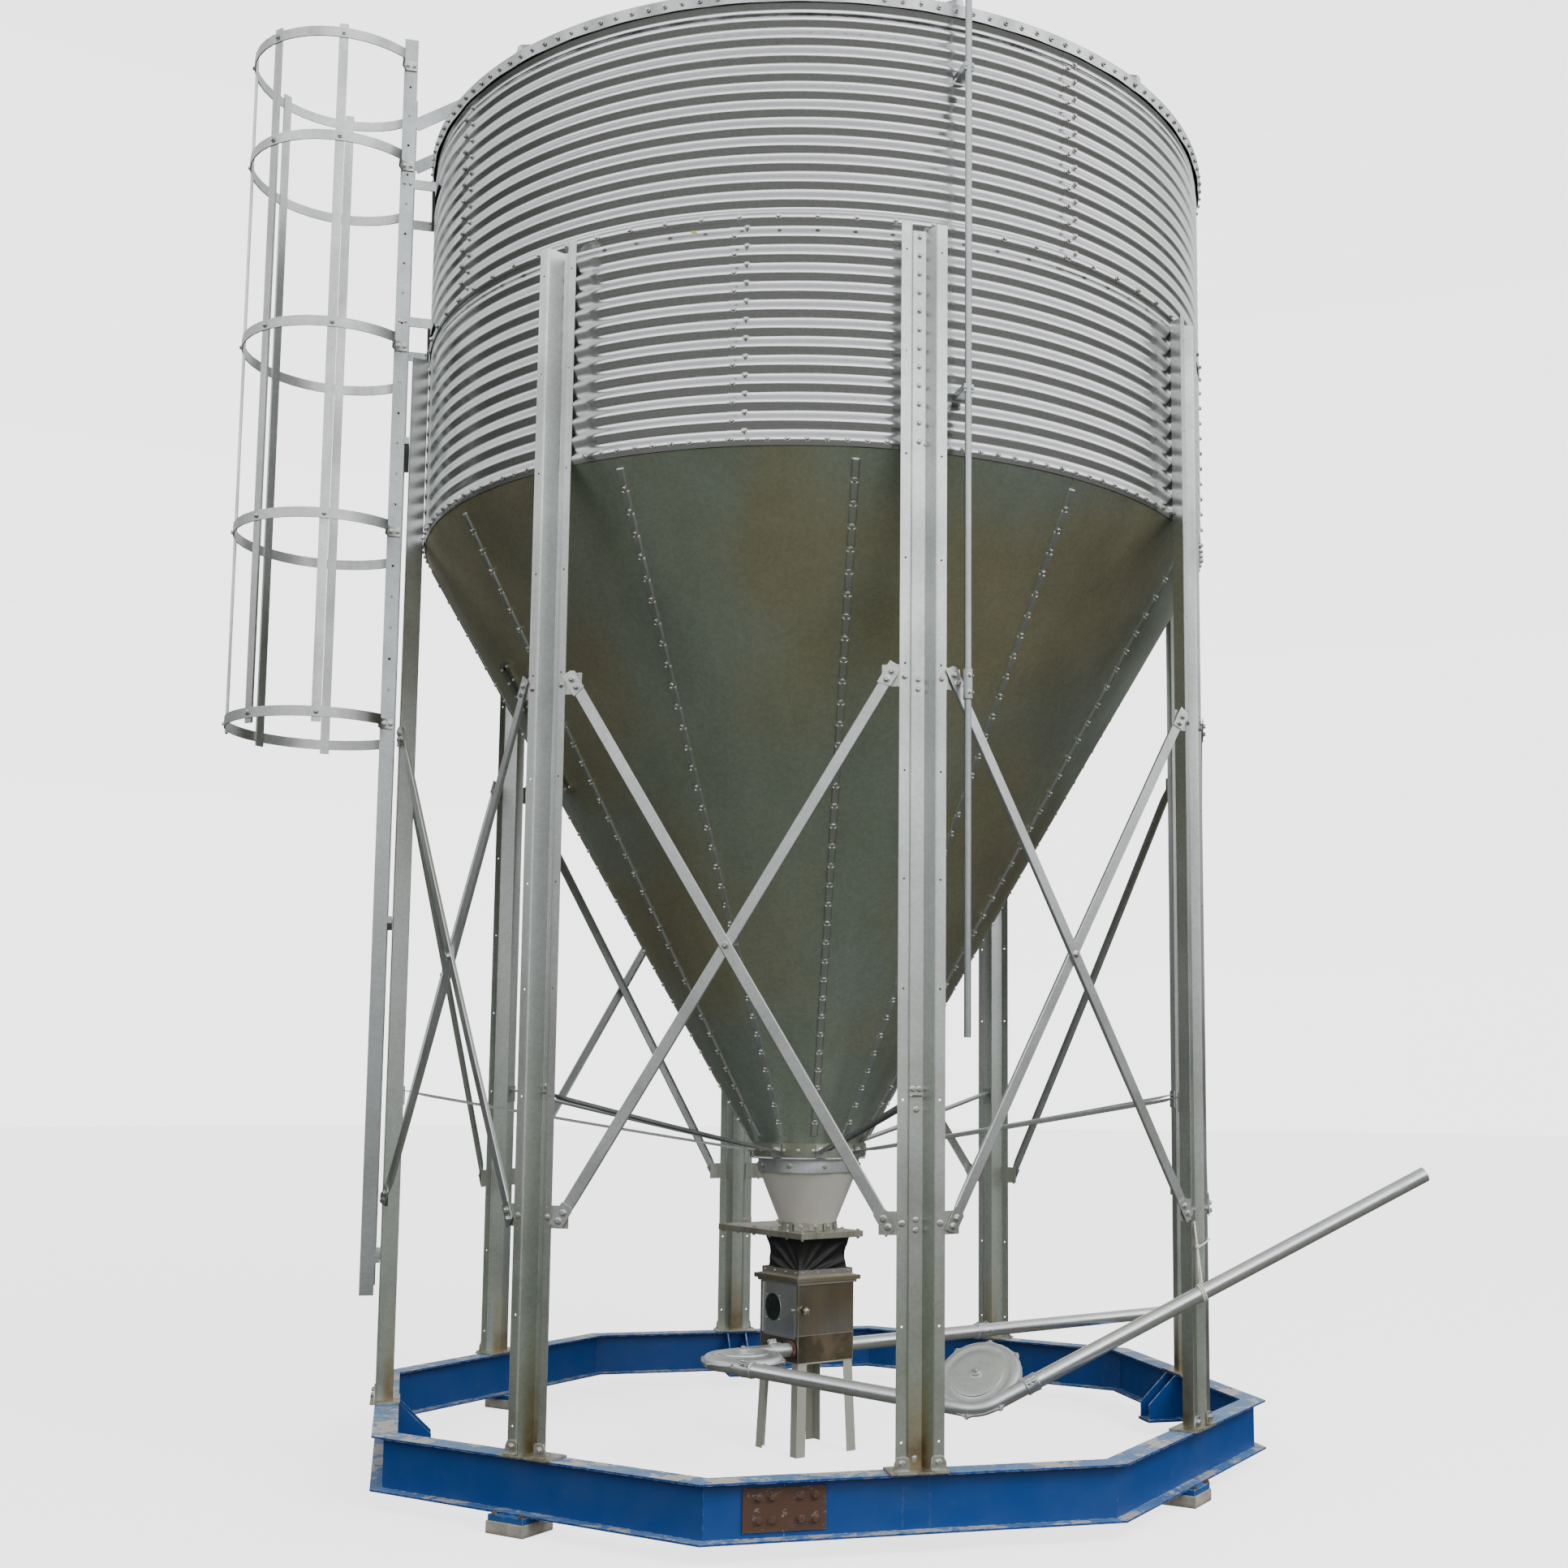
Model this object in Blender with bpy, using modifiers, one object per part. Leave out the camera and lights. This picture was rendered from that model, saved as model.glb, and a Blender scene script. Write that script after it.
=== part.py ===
# Corrugated grain silo on eight legs, with a cone hopper, a slide gate and a tube conveyor.
# Metres, +Z up. Everything is drawn about the silo's own axis with the ground at z = 0, and an
# empty then carries the whole to the middle of its bounding box.
# An angle runs from the front (-Y) towards the right (+X). A piece at an angle is drawn at the
# front, facing -Y, and is then turned about Z.

import bpy
import bmesh
from math import atan2, cos, hypot, pi, radians, sin, sqrt, tan
from mathutils import Matrix, Vector

# Driving dimensions
GAP = 0.0003
# How far pieces that make one solid are let into each other: a hair, a little, and a lap
HAIR = 0.0005
LET_IN = 0.001
LAP = 0.004
# How far a cutter reaches past what it cuts
CUT_REACH = 0.050
WALL_R = 1.830
WALL_DEPTH = 0.012
WALL_FACETS = 72
RING_BOTTOM = 4.070
RING_MIDDLE = 4.984
WALL_JOINTS = (-22.5, 22.5)
EAVE_Z = 5.898
EAVE_SKIRT = 0.043
EAVE_R = 1.845
ROOF_SLOPE = radians(26.0)
ROOF_SHEET = 0.008
FILLER_R = 0.250
FILLER_TOP = 6.745
FILLER_WALL = 0.008
LID_R = 0.275
LID_TOP = 6.860
LID_BUTTON = (0.090, 0.008)
LID_EDGE = (0.020, 0.035)

LEG_COUNT = 8
LEG_STEP = 360.0 / LEG_COUNT
LEG_NAMES = ("front", "front_right", "right", "back_right",
             "back", "back_left", "left", "front_left")
LEG_TOP = 4.947
LEG_SHEET = 0.003
LEG_WEB_HALF = 0.028
LEG_WAIST_HALF = 0.052
LEG_HALF = 0.091
LEG_LIP_R = 1.9045
FOOT_PLATE = (0.250, 0.130, 0.008)
FOOT_SHIFT = 0.005
BRACKET_Z = (1.160, 3.170)
BRACKET_HEIGHT = 0.085
BRACKET_SHEET = 0.004
BRACKET_START = 0.056
BRACKET_BEND = 0.097
BRACKET_WING = 0.060
BRACE_END = 0.032
BRACE_WIDTH = 0.045
BRACE_THICK = 0.005
BRACE_BOLT = (0.012, 0.010)

BEAM_OUTER = 1.905
BEAM_INNER = 1.805
BEAM_WEB = 0.006
BEAM_FLANGE = 0.008
BEAM_BOTTOM = 0.070
BEAM_TOP = 0.280
# Gusset: place, thickness, short of the beam's outer side, reach past its inner side at the foot
# and under the top flange, and the height of the gusset's upright edge
GUSSET = (0.050, 0.006, 0.004, 0.140, 0.006, 0.070)
# Shoe under a pair of gussets: half width, inward and outward reach, foot below the beam
SHOE = (0.062, 0.146, 0.045, 0.012)
SPLICE_X = -0.482
SPLICE_SIZE = (0.300, 0.008, 0.152)
SPLICE_Z = 0.174
# Block and plate under the beam, as width, depth and height, and the block's place along and
# in from the middle of the beam
PAD_BLOCK = (0.182, 0.171, 0.047)
PAD_PLATE = (0.170, 0.160)
PAD_SHIFT = -0.072
PAD_IN = 0.0075

HOPPER_SHEET = 0.006
HOPPER_SKIRT = 0.060
HOPPER_BOTTOM_R = 0.262
HOPPER_FIRST_SEAM = -7.5
HOPPER_SPLIT = 2.200
HOPPER_TRIM = 0.012
COLLAR_SIDES = 32
COLLAR_TOP = 1.388
COLLAR_BOTTOM = 1.313
COLLAR_DEPTH = 0.025
COLLAR_SHELF = 0.010
TIE_Z_LEG = 1.610
TIE_Z_COLLAR = 1.350
TIE_WIDTH = 0.040
TIE_THICK = 0.006
# Tie's tab at the leg: half width, below and above its bar. Foot at the collar: half width,
# thickness, clear of the collar's lower and upper edges
TIE_TAB = (0.025, 0.060, 0.020)
TIE_FOOT = (0.024, 0.010, 0.006, 0.008)
TRANSITION_TOP_R = 0.222
TRANSITION_BAND_R = 0.233
TRANSITION_SHOULDER = 1.254
OUTLET_R = 0.130
OUTLET_NECK_R = 0.124
OUTLET_NECK = 1.024
OUTLET_WALL = 0.006

# The outlet, box and conveyor stand square to this angle: "ahead" is towards the camera side,
# and "aside" is towards the door.
BOX_TURN = 22.5
GATE_HALF = 0.172
GATE_AHEAD = 0.200
GATE_BACK = -0.500
GATE_TOP = 0.986
GATE_BOTTOM = 0.958
GATE_SLOT = (0.968, 0.977)
BLADE_HALF = 0.148
BLADE_AHEAD = 0.160
BLADE_BACK = -0.170
BLADE_THICK = 0.005
BLADE_PLAY = 0.002
OUTLET_HOLE_R = 0.118
PULL_HALF = 0.030
PULL_END = 0.025
PULL_LIP = (0.005, 0.040)
BOOT_SIDE = 0.288
BOOT_WAIST = 0.252
BOOT_WALL = 0.006
BOOT_BOTTOM = 0.820
BOOT_HEM = (0.004, 0.020)
STRIP_BOTTOM = 0.785
BOX_FLANGE_SIDE = 0.354
BOX_FLANGE_THICK = 0.020
BOX_SIDE = 0.304
BOX_BOTTOM = 0.408
BOX_WALL = 0.004
DOOR_LEFT = -0.127
DOOR_RIGHT = 0.132
DOOR_BOTTOM = 0.512
DOOR_TOP = 0.757
DOOR_THICK = 0.004
DOOR_LAP = 0.014
DOOR_SEAM = 0.004
HINGE_R = 0.005
HINGE_INSET = 0.010
HINGE_LEAF = (0.020, 0.0015)
# Knob: in from the door's edge, how far it stands out, and its radius
KNOB = (0.012, 0.016, 0.007)
WINDOW_R = 0.062
WINDOW_AHEAD = -0.046
WINDOW_Z = 0.640
STAND_TOP_R = 0.2140
STAND_FOOT_R = 0.235
STAND_LEG = 0.045
STAND_SHEET = 0.004
STAND_RIM = (0.030, 0.006)
STAND_SET = 0.008

TUBE_R = 0.031
SLEEVE_R = 0.037
FEED_AHEAD = 0.100
FEED_Z = 0.465
FEED_END = 2.400
FEED_FLANGE = (0.046, 0.012)
FEED_SLEEVE = (0.930, 1.010)
BOX_CLAMP = (0.042, 0.013)
WHEEL_TUBE_R = 0.145
WHEEL_RIM_R = 0.183
# Upper half of a wheel housing, as (radius, height), from the hub out to the rim
WHEEL_PROFILE = ((0.0, 0.052), (0.014, 0.052), (0.014, 0.040), (0.050, 0.036), (0.128, 0.036),
                 (0.146, 0.031), (0.162, 0.022), (0.171, 0.008), (0.173, 0.004),
                 (WHEEL_RIM_R, 0.004))
WHEEL_HUB_POINTS = 3
WHEEL_ASIDE = 0.503
WHEEL_NECKS = (0.150, 0.200)
NECK_SLEEVE = 0.060
BEND_POINT = Vector((0.403, -1.343, 0.384))
FRONT_TURN = -8.0
FRONT_RISE = 0.500
FRONT_LENGTH = 1.800
TWINE_R = 0.003
TWINE_ASIDE = 0.075
TWINE_TOP = 1.110

LADDER_X = -1.955
LADDER_HALF = 0.200
STILE_DEPTH = 0.060
STILE_THICK = 0.006
STILE_BOTTOM = 0.750
STILE_TOPS = (6.390, 6.320)
LEG_STANDOFFS = (0.900, 2.350, 4.500)
LEG_STANDOFF_HALF = 0.015
WALL_STANDOFFS = (5.050, 5.700)
# Flat bars between ladder and wall: half thickness and half height, and the cross bar's depth
STANDOFF_BAR = (0.003, 0.022)
CROSS_BAR = 0.014
ROOF_BAR_START = 5.980
ROOF_BAR_HALF = 0.028
ROOF_POST_R = 1.655
ROOF_POST_TOP = 6.150
ROOF_POST_HALF = 0.020
ROOF_POST_THICK = 0.007
RUNG_R = 0.011
RUNG_FIRST = 0.795
RUNG_PITCH = 0.393
RUNG_COUNT = 15
CAGE_X = -2.243
CAGE_R = 0.400
CAGE_BAR = (0.045, 0.006)
CAGE_HOOPS = (6.260, 5.780, 4.930, 4.075, 3.210)
CAGE_UPRIGHTS = (90.0, 135.0, 180.0, 225.0, 270.0)
CAGE_OPEN = 50.0
CAGE_STEP = 9.0
# Where a hoop leaves the ladder's stile: back from its far edge, past it, and out sideways
CAGE_HOOK = (0.006, 0.008, 0.036)
# Upright inside the hoops: thickness, half width, and how far it runs past the end hoops
CAGE_UPRIGHT = (0.009, 0.020, 0.020)
ROD_ANGLE = 5.1
ROD_R = 1.925
ROD_THICK = 0.0135
ROD_BOTTOM = 1.830
ROD_ELBOW = 0.090
ROD_BEND = 0.050
ROD_END = 0.012
ROD_CLIPS = (4.300, 5.600)
ROD_CLIP = (0.020, 0.015)
ROD_SLEEVE = (3.090, 3.210, 0.018)

COLOURS = {
    "galvanised": ((0.55, 0.56, 0.57), 0.38, 1.0),
    "leg_steel": ((0.36, 0.39, 0.37), 0.45, 0.9),
    "hopper_sheet": ((0.20, 0.22, 0.21), 0.50, 0.8),
    "blue_paint": ((0.02, 0.13, 0.42), 0.45, 0.0),
    "plate_steel": ((0.33, 0.30, 0.24), 0.50, 0.8),
    "pale_paint": ((0.55, 0.54, 0.48), 0.55, 0.1),
    "stainless": ((0.42, 0.39, 0.33), 0.30, 1.0),
    "tube_metal": ((0.62, 0.63, 0.64), 0.40, 0.9),
    "black_fabric": ((0.02, 0.02, 0.02), 0.85, 0.0),
    "dark_glass": ((0.02, 0.03, 0.03), 0.10, 0.0),
    "rusty_plate": ((0.16, 0.09, 0.06), 0.75, 0.3),
    "twine": ((0.62, 0.52, 0.34), 0.90, 0.0),
}


def clear_scene():
    for obj in list(bpy.data.objects):
        bpy.data.objects.remove(obj, do_unlink=True)


def new_collection(name):
    collection = bpy.data.collections.new(name)
    bpy.context.scene.collection.children.link(collection)
    return collection


clear_scene()
SILO = new_collection("grain_silo")


def material_for(node, colour):
    base, rough, metal = COLOURS[colour]
    material = bpy.data.materials.new(node + "_" + colour)
    material.use_nodes = True
    shader = material.node_tree.nodes["Principled BSDF"]
    shader.inputs["Base Color"].default_value = (*base, 1.0)
    shader.inputs["Roughness"].default_value = rough
    shader.inputs["Metallic"].default_value = metal
    return material


def object_from(bm, name="piece"):
    """Close a bmesh into a new object in the silo's collection."""
    bmesh.ops.remove_doubles(bm, verts=bm.verts, dist=0.00001)
    bmesh.ops.recalc_face_normals(bm, faces=bm.faces)
    mesh = bpy.data.meshes.new(name)
    bm.to_mesh(mesh)
    bm.free()
    obj = bpy.data.objects.new(name, mesh)
    SILO.objects.link(obj)
    return obj


def finish(obj, name, colour, smooth=False):
    """Name a finished solid after its node and give it its material and shading."""
    obj.name = name
    obj.data.name = name
    obj.data.materials.clear()
    obj.data.materials.append(material_for(name, colour))
    if smooth:
        obj.data.shade_smooth()
        obj.data.set_sharp_from_angle(angle=radians(30.0))
    return obj


def turn(obj, degrees):
    """Turn a mesh about the silo's axis."""
    obj.data.transform(Matrix.Rotation(radians(degrees), 4, "Z"))
    return obj


def shift(obj, x, y, z):
    obj.data.transform(Matrix.Translation((x, y, z)))
    return obj


def box(x0, x1, y0, y1, z0, z1):
    """A block between two corners."""
    bm = bmesh.new()
    size = Matrix.Diagonal((x1 - x0, y1 - y0, z1 - z0, 1.0))
    place = Matrix.Translation(((x0 + x1) / 2, (y0 + y1) / 2, (z0 + z1) / 2))
    bmesh.ops.create_cube(bm, size=1.0, matrix=place @ size)
    return object_from(bm)


def front_box(half_width, near_r, far_r, z0, z1, shift_t=0.0):
    """A block that faces the front, between two distances from the axis."""
    return box(shift_t - half_width, shift_t + half_width, -far_r, -near_r, z0, z1)


def rod(start, end, radius, sides=12):
    """A round bar between two points."""
    span = Vector(end) - Vector(start)
    middle = (Vector(end) + Vector(start)) / 2
    bm = bmesh.new()
    aim = span.to_track_quat("Z", "Y").to_matrix().to_4x4()
    bmesh.ops.create_cone(bm, cap_ends=True, segments=sides, radius1=radius, radius2=radius,
                          depth=span.length, matrix=Matrix.Translation(middle) @ aim)
    return object_from(bm)


def turned(profile, sides=36, start=0.0, sweep=360.0):
    """Spin a profile of (radius, height) points about Z, from an angle measured at the front.
    A profile that starts and ends on the axis stays open there. Ends of a part turn are filled."""
    on_axis = profile[0][0] == 0.0 and profile[-1][0] == 0.0
    bm = bmesh.new()
    first = radians(start)
    verts = [bm.verts.new((r * sin(first), -r * cos(first), z)) for r, z in profile]
    edges = [bm.edges.new((a, b)) for a, b in zip(verts, verts[1:])]
    if not on_axis:
        edges.append(bm.edges.new((verts[-1], verts[0])))
    bmesh.ops.spin(bm, geom=verts + edges, angle=radians(sweep), steps=sides,
                   axis=(0, 0, 1), cent=(0, 0, 0))
    bmesh.ops.remove_doubles(bm, verts=bm.verts, dist=0.00001)
    if sweep < 360.0:
        bmesh.ops.holes_fill(bm, edges=bm.edges)
    return object_from(bm)


def prism(outline, z0, z1):
    """A flat outline of (x, y) points raised from z0 to z1."""
    bm = bmesh.new()
    face = bm.faces.new([bm.verts.new((x, y, z0)) for x, y in outline])
    raised = bmesh.ops.extrude_face_region(bm, geom=[face])
    top = [item for item in raised["geom"] if isinstance(item, bmesh.types.BMVert)]
    bmesh.ops.translate(bm, verts=top, vec=(0, 0, z1 - z0))
    return object_from(bm)


def folded_sheet(path, z0, z1, thickness):
    """A sheet that stands from z0 to z1 on a plan path of (x, y) points, and has its thickness
    on the right of the path."""
    bm = bmesh.new()
    low = [bm.verts.new((x, y, z0)) for x, y in path]
    edges = [bm.edges.new((a, b)) for a, b in zip(low, low[1:])]
    raised = bmesh.ops.extrude_edge_only(bm, edges=edges)
    top = [item for item in raised["geom"] if isinstance(item, bmesh.types.BMVert)]
    bmesh.ops.translate(bm, verts=top, vec=(0, 0, z1 - z0))
    bm.normal_update()
    right_of_path = (Vector(path[1]) - Vector(path[0])).to_3d().cross((0, 0, 1))
    if edges[0].link_faces[0].normal.dot(right_of_path) < 0:
        bmesh.ops.reverse_faces(bm, faces=bm.faces)
    mesh = bpy.data.meshes.new("sheet")
    bm.to_mesh(mesh)
    bm.free()
    obj = bpy.data.objects.new("sheet", mesh)
    SILO.objects.link(obj)
    solidify = obj.modifiers.new("thickness", "SOLIDIFY")
    solidify.thickness = thickness
    solidify.offset = 1.0
    solidify.use_even_offset = True
    return baked(obj)


def baked(obj):
    """Replace an object by a plain mesh of what its modifiers make."""
    graph = bpy.context.evaluated_depsgraph_get()
    mesh = bpy.data.meshes.new_from_object(obj.evaluated_get(graph))
    mesh.transform(obj.matrix_world)
    bpy.data.objects.remove(obj, do_unlink=True)
    bm = bmesh.new()
    bm.from_mesh(mesh)
    bpy.data.meshes.remove(mesh)
    return object_from(bm)


def combine(base, others, operation):
    """Join or cut a solid with a list of others in one exact Boolean, and keep the result."""
    group = bpy.data.collections.new("operands")
    bpy.context.scene.collection.children.link(group)
    for other in others:
        SILO.objects.unlink(other)
        group.objects.link(other)
    boolean = base.modifiers.new(operation.lower(), "BOOLEAN")
    boolean.operation = operation
    boolean.operand_type = "COLLECTION"
    boolean.collection = group
    boolean.solver = "EXACT"
    result = baked(base)
    for other in list(group.objects):
        bpy.data.objects.remove(other, do_unlink=True)
    bpy.data.collections.remove(group)
    return result


def fused(pieces):
    return combine(pieces[0], pieces[1:], "UNION")


def cut(base, cutters):
    return combine(base, cutters, "DIFFERENCE")


def copy_turned(obj, name, colour, degrees, smooth=False):
    """A further solid of the same shape, turned about the silo's axis."""
    twin = bpy.data.objects.new(name, obj.data.copy())
    SILO.objects.link(twin)
    return finish(turn(twin, degrees), name, colour, smooth)


def at_angle(degrees, radius, z=0.0):
    angle = radians(degrees)
    return Vector((radius * sin(angle), -radius * cos(angle), z))


# Flat of a wall facet at a leg, measured from the axis
FACET_FLAT = WALL_R * cos(pi / WALL_FACETS)
# Outer face of a brace bracket, let into the back of the leg's lip by a hair
BRACKET_SEAT = LEG_LIP_R - LEG_SHEET + HAIR
# Flats of the hopper collar face the legs
COLLAR_FLAT = HOPPER_BOTTOM_R * cos(pi / COLLAR_SIDES)
OUTLET_BOTTOM = GATE_TOP + GAP
BOOT_TOP = GATE_BOTTOM - GAP


def gusset(side, low, high):
    """Upright plate across the beam, with a corner that reaches inwards at the foot."""
    place, thick, short, reach, head, upright = GUSSET
    outer = BEAM_OUTER - short
    inner = BEAM_INNER - reach
    outline = [(-outer, low), (-outer, high), (-BEAM_INNER + head, high),
               (-inner, low + upright), (-inner, low)]
    plate = prism(outline, side * place - thick / 2, side * place + thick / 2)
    plate.data.transform(Matrix(((0, 0, 1, 0), (1, 0, 0, 0), (0, 1, 0, 0), (0, 0, 0, 1))))
    return plate


def base_ring():
    """Two mitred halves of I-beam with gussets under the four straight-on legs."""
    to_corner = 1.0 / cos(radians(LEG_STEP / 2))
    middle = (BEAM_OUTER + BEAM_INNER) / 2
    web_out = middle + BEAM_WEB / 2
    web_in = middle - BEAM_WEB / 2
    low = BEAM_BOTTOM + BEAM_FLANGE
    high = BEAM_TOP - BEAM_FLANGE
    profile = [(BEAM_OUTER, BEAM_BOTTOM), (BEAM_OUTER, low), (web_out, low), (web_out, high),
               (BEAM_OUTER, high), (BEAM_OUTER, BEAM_TOP), (BEAM_INNER, BEAM_TOP),
               (BEAM_INNER, high), (web_in, high), (web_in, low), (BEAM_INNER, low),
               (BEAM_INNER, BEAM_BOTTOM)]
    ring = turned([(r * to_corner, z) for r, z in profile], LEG_COUNT, LEG_STEP / 2)
    gussets = []
    reach = 2 * BEAM_OUTER
    half_width, inward, outward, foot = SHOE
    for degrees in (0, 90):
        for side in (-1, 1):
            gussets.append(turn(gusset(side, BEAM_BOTTOM + HAIR, high + HAIR), degrees))
        shoe = front_box(half_width, BEAM_INNER - inward, BEAM_INNER + outward,
                         BEAM_BOTTOM - foot, BEAM_BOTTOM + LET_IN)
        gussets.append(turn(shoe, degrees))
    ring = fused([ring] + gussets)
    left = prism([(SPLICE_X + GAP / 2, -reach), (SPLICE_X + GAP / 2, 0.0),
                  (-SPLICE_X + GAP / 2, 0.0), (-SPLICE_X + GAP / 2, reach),
                  (-reach, reach), (-reach, -reach)], -BEAM_TOP, 2 * BEAM_TOP)
    half = finish(cut(ring, [left]), "base_ring_right", "blue_paint")
    copy_turned(half, "base_ring_left", "blue_paint", 180.0)


def splice_plates():
    """Plates that join the halves of the ring on the outer side of the web."""
    web_out = (BEAM_OUTER + BEAM_INNER) / 2 + BEAM_WEB / 2 + GAP
    width, thick, height = SPLICE_SIZE
    plate = front_box(width / 2, web_out, web_out + thick,
                      SPLICE_Z - height / 2, SPLICE_Z + height / 2, SPLICE_X)
    plate = finish(plate, "splice_plate_front", "rusty_plate")
    copy_turned(plate, "splice_plate_back", "rusty_plate", 180.0)


def foot_pads():
    """A block and a plate under the ring, below each of the diagonal legs."""
    width, depth, height = PAD_BLOCK
    middle = (BEAM_OUTER + BEAM_INNER) / 2 - PAD_IN
    block = front_box(width / 2, middle - depth / 2, middle + depth / 2, 0.0, height, PAD_SHIFT)
    plate_width, plate_depth = PAD_PLATE
    plate = front_box(plate_width / 2, middle - plate_depth / 2, middle + plate_depth / 2,
                      height - LET_IN, BEAM_BOTTOM - GAP, PAD_SHIFT)
    pad = fused([block, plate])
    for index in (1, 3, 5, 7):
        name = "foot_pad_" + LEG_NAMES[index]
        copy_turned(pad, name, "blue_paint", index * LEG_STEP)
    bpy.data.objects.remove(pad, do_unlink=True)


def bracket(side, z):
    """Plate behind a leg's lip, with a wing bent back into the plane of the bay's braces."""
    bend = radians(LEG_STEP / 2)
    path = [(side * BRACKET_START, -BRACKET_SEAT), (side * BRACKET_BEND, -BRACKET_SEAT),
            (side * (BRACKET_BEND + BRACKET_WING * cos(bend)),
             -BRACKET_SEAT + BRACKET_WING * sin(bend))]
    if side > 0:
        path.reverse()
    return folded_sheet(path, z - BRACKET_HEIGHT / 2, z + BRACKET_HEIGHT / 2, BRACKET_SHEET)


def tie(web):
    """Bar from a leg down to the hopper collar, with a tab at the leg and a foot at the collar."""
    tab_half, tab_below, tab_above = TIE_TAB
    foot_half, foot_thick, foot_low, foot_high = TIE_FOOT
    near = COLLAR_FLAT + GAP
    far = web + HAIR
    start = Vector((0, -(near + foot_thick / 2), TIE_Z_COLLAR))
    end = Vector((0, -(far - TIE_THICK / 2), TIE_Z_LEG))
    run = hypot(end.y - start.y, end.z - start.z)
    tilt = atan2(end.z - start.z, start.y - end.y)
    bar = box(-TIE_WIDTH / 2, TIE_WIDTH / 2, -run, 0.0, -TIE_THICK / 2, TIE_THICK / 2)
    bar.data.transform(Matrix.Rotation(-tilt, 4, "X"))
    shift(bar, 0.0, start.y, start.z)
    tab = front_box(tab_half, far - TIE_THICK, far, TIE_Z_LEG - tab_below, TIE_Z_LEG + tab_above)
    foot = front_box(foot_half, near, near + foot_thick, COLLAR_BOTTOM + foot_low,
                     COLLAR_TOP - foot_high)
    return [bar, tab, foot]


def legs():
    """Hat-section legs, each with a foot plate, brackets for the braces and a tie to the hopper."""
    web = FACET_FLAT + GAP
    lip = LEG_LIP_R - LEG_SHEET
    path = [(-LEG_HALF, -lip), (-LEG_WAIST_HALF, -lip), (-LEG_WEB_HALF, -web),
            (LEG_WEB_HALF, -web), (LEG_WAIST_HALF, -lip), (LEG_HALF, -lip)]
    foot = BEAM_TOP + GAP
    width, depth, thick = FOOT_PLATE
    middle = (BEAM_OUTER + BEAM_INNER) / 2 + FOOT_SHIFT
    pieces = [folded_sheet(path, foot + thick - LET_IN, LEG_TOP, LEG_SHEET),
              front_box(width / 2, middle - depth / 2, middle + depth / 2, foot, foot + thick)]
    for z in BRACKET_Z:
        pieces += [bracket(side, z) for side in (-1, 1)]
    leg = fused(pieces + tie(web))
    for index, place in enumerate(LEG_NAMES):
        copy_turned(leg, "leg_" + place, "leg_steel", index * LEG_STEP)
    bpy.data.objects.remove(leg, do_unlink=True)


def braces():
    """Crossed flat bars in each bay, bolted to the outer face of the bracket wings."""
    half_bay = radians(LEG_STEP / 2)
    wing_r = BRACKET_SEAT * cos(half_bay) + BRACKET_BEND * sin(half_bay)
    start = BRACKET_SEAT * sin(half_bay) - BRACKET_BEND * cos(half_bay)
    reach = start - BRACE_END
    near = wing_r + GAP
    low, high = BRACKET_Z
    middle = (low + high) / 2
    length = hypot(2 * reach, high - low) + BRACE_WIDTH
    lean = atan2(2 * reach, high - low)
    bars = []
    for side in (-1, 1):
        bar = box(-BRACE_WIDTH / 2, BRACE_WIDTH / 2, -near - BRACE_THICK, -near,
                  -length / 2, length / 2)
        bar.data.transform(Matrix.Rotation(side * lean, 4, "Y"))
        bars.append(shift(bar, 0.0, 0.0, middle))
    bolt_r, bolt_out = BRACE_BOLT
    bolt = rod((0, -near - BRACE_THICK - bolt_out, middle), (0, -near - LET_IN, middle), bolt_r)
    cross = fused(bars + [bolt])
    for index, place in enumerate(LEG_NAMES):
        name = "brace_" + place + "_to_" + LEG_NAMES[(index + 1) % LEG_COUNT]
        copy_turned(cross, name, "leg_steel", (index + 0.5) * LEG_STEP)
    bpy.data.objects.remove(cross, do_unlink=True)


def wall_rings():
    """Two courses of wall, each in two half rings. The joints are where sheets meet."""
    outer = WALL_R
    inner = WALL_R - WALL_DEPTH
    eave_under = EAVE_Z - ROOF_SHEET / cos(ROOF_SLOPE)
    upper_top = eave_under + (EAVE_R - WALL_R) * tan(ROOF_SLOPE) - GAP
    courses = (("lower", WALL_JOINTS[0], RING_BOTTOM, RING_MIDDLE),
               ("upper", WALL_JOINTS[1], RING_MIDDLE + GAP, upper_top))
    trim = 360.0 * GAP / (2 * pi * WALL_R)
    steps = WALL_FACETS // 2
    for course, joint, low, high in courses:
        for half, start in (("right", joint), ("left", joint + 180.0)):
            profile = [(outer, low), (outer, high), (inner, high), (inner, low)]
            ring = turned(profile, steps, start + trim / 2, 180.0 - trim)
            finish(ring, "wall_" + course + "_" + half, "galvanised", True)


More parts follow.
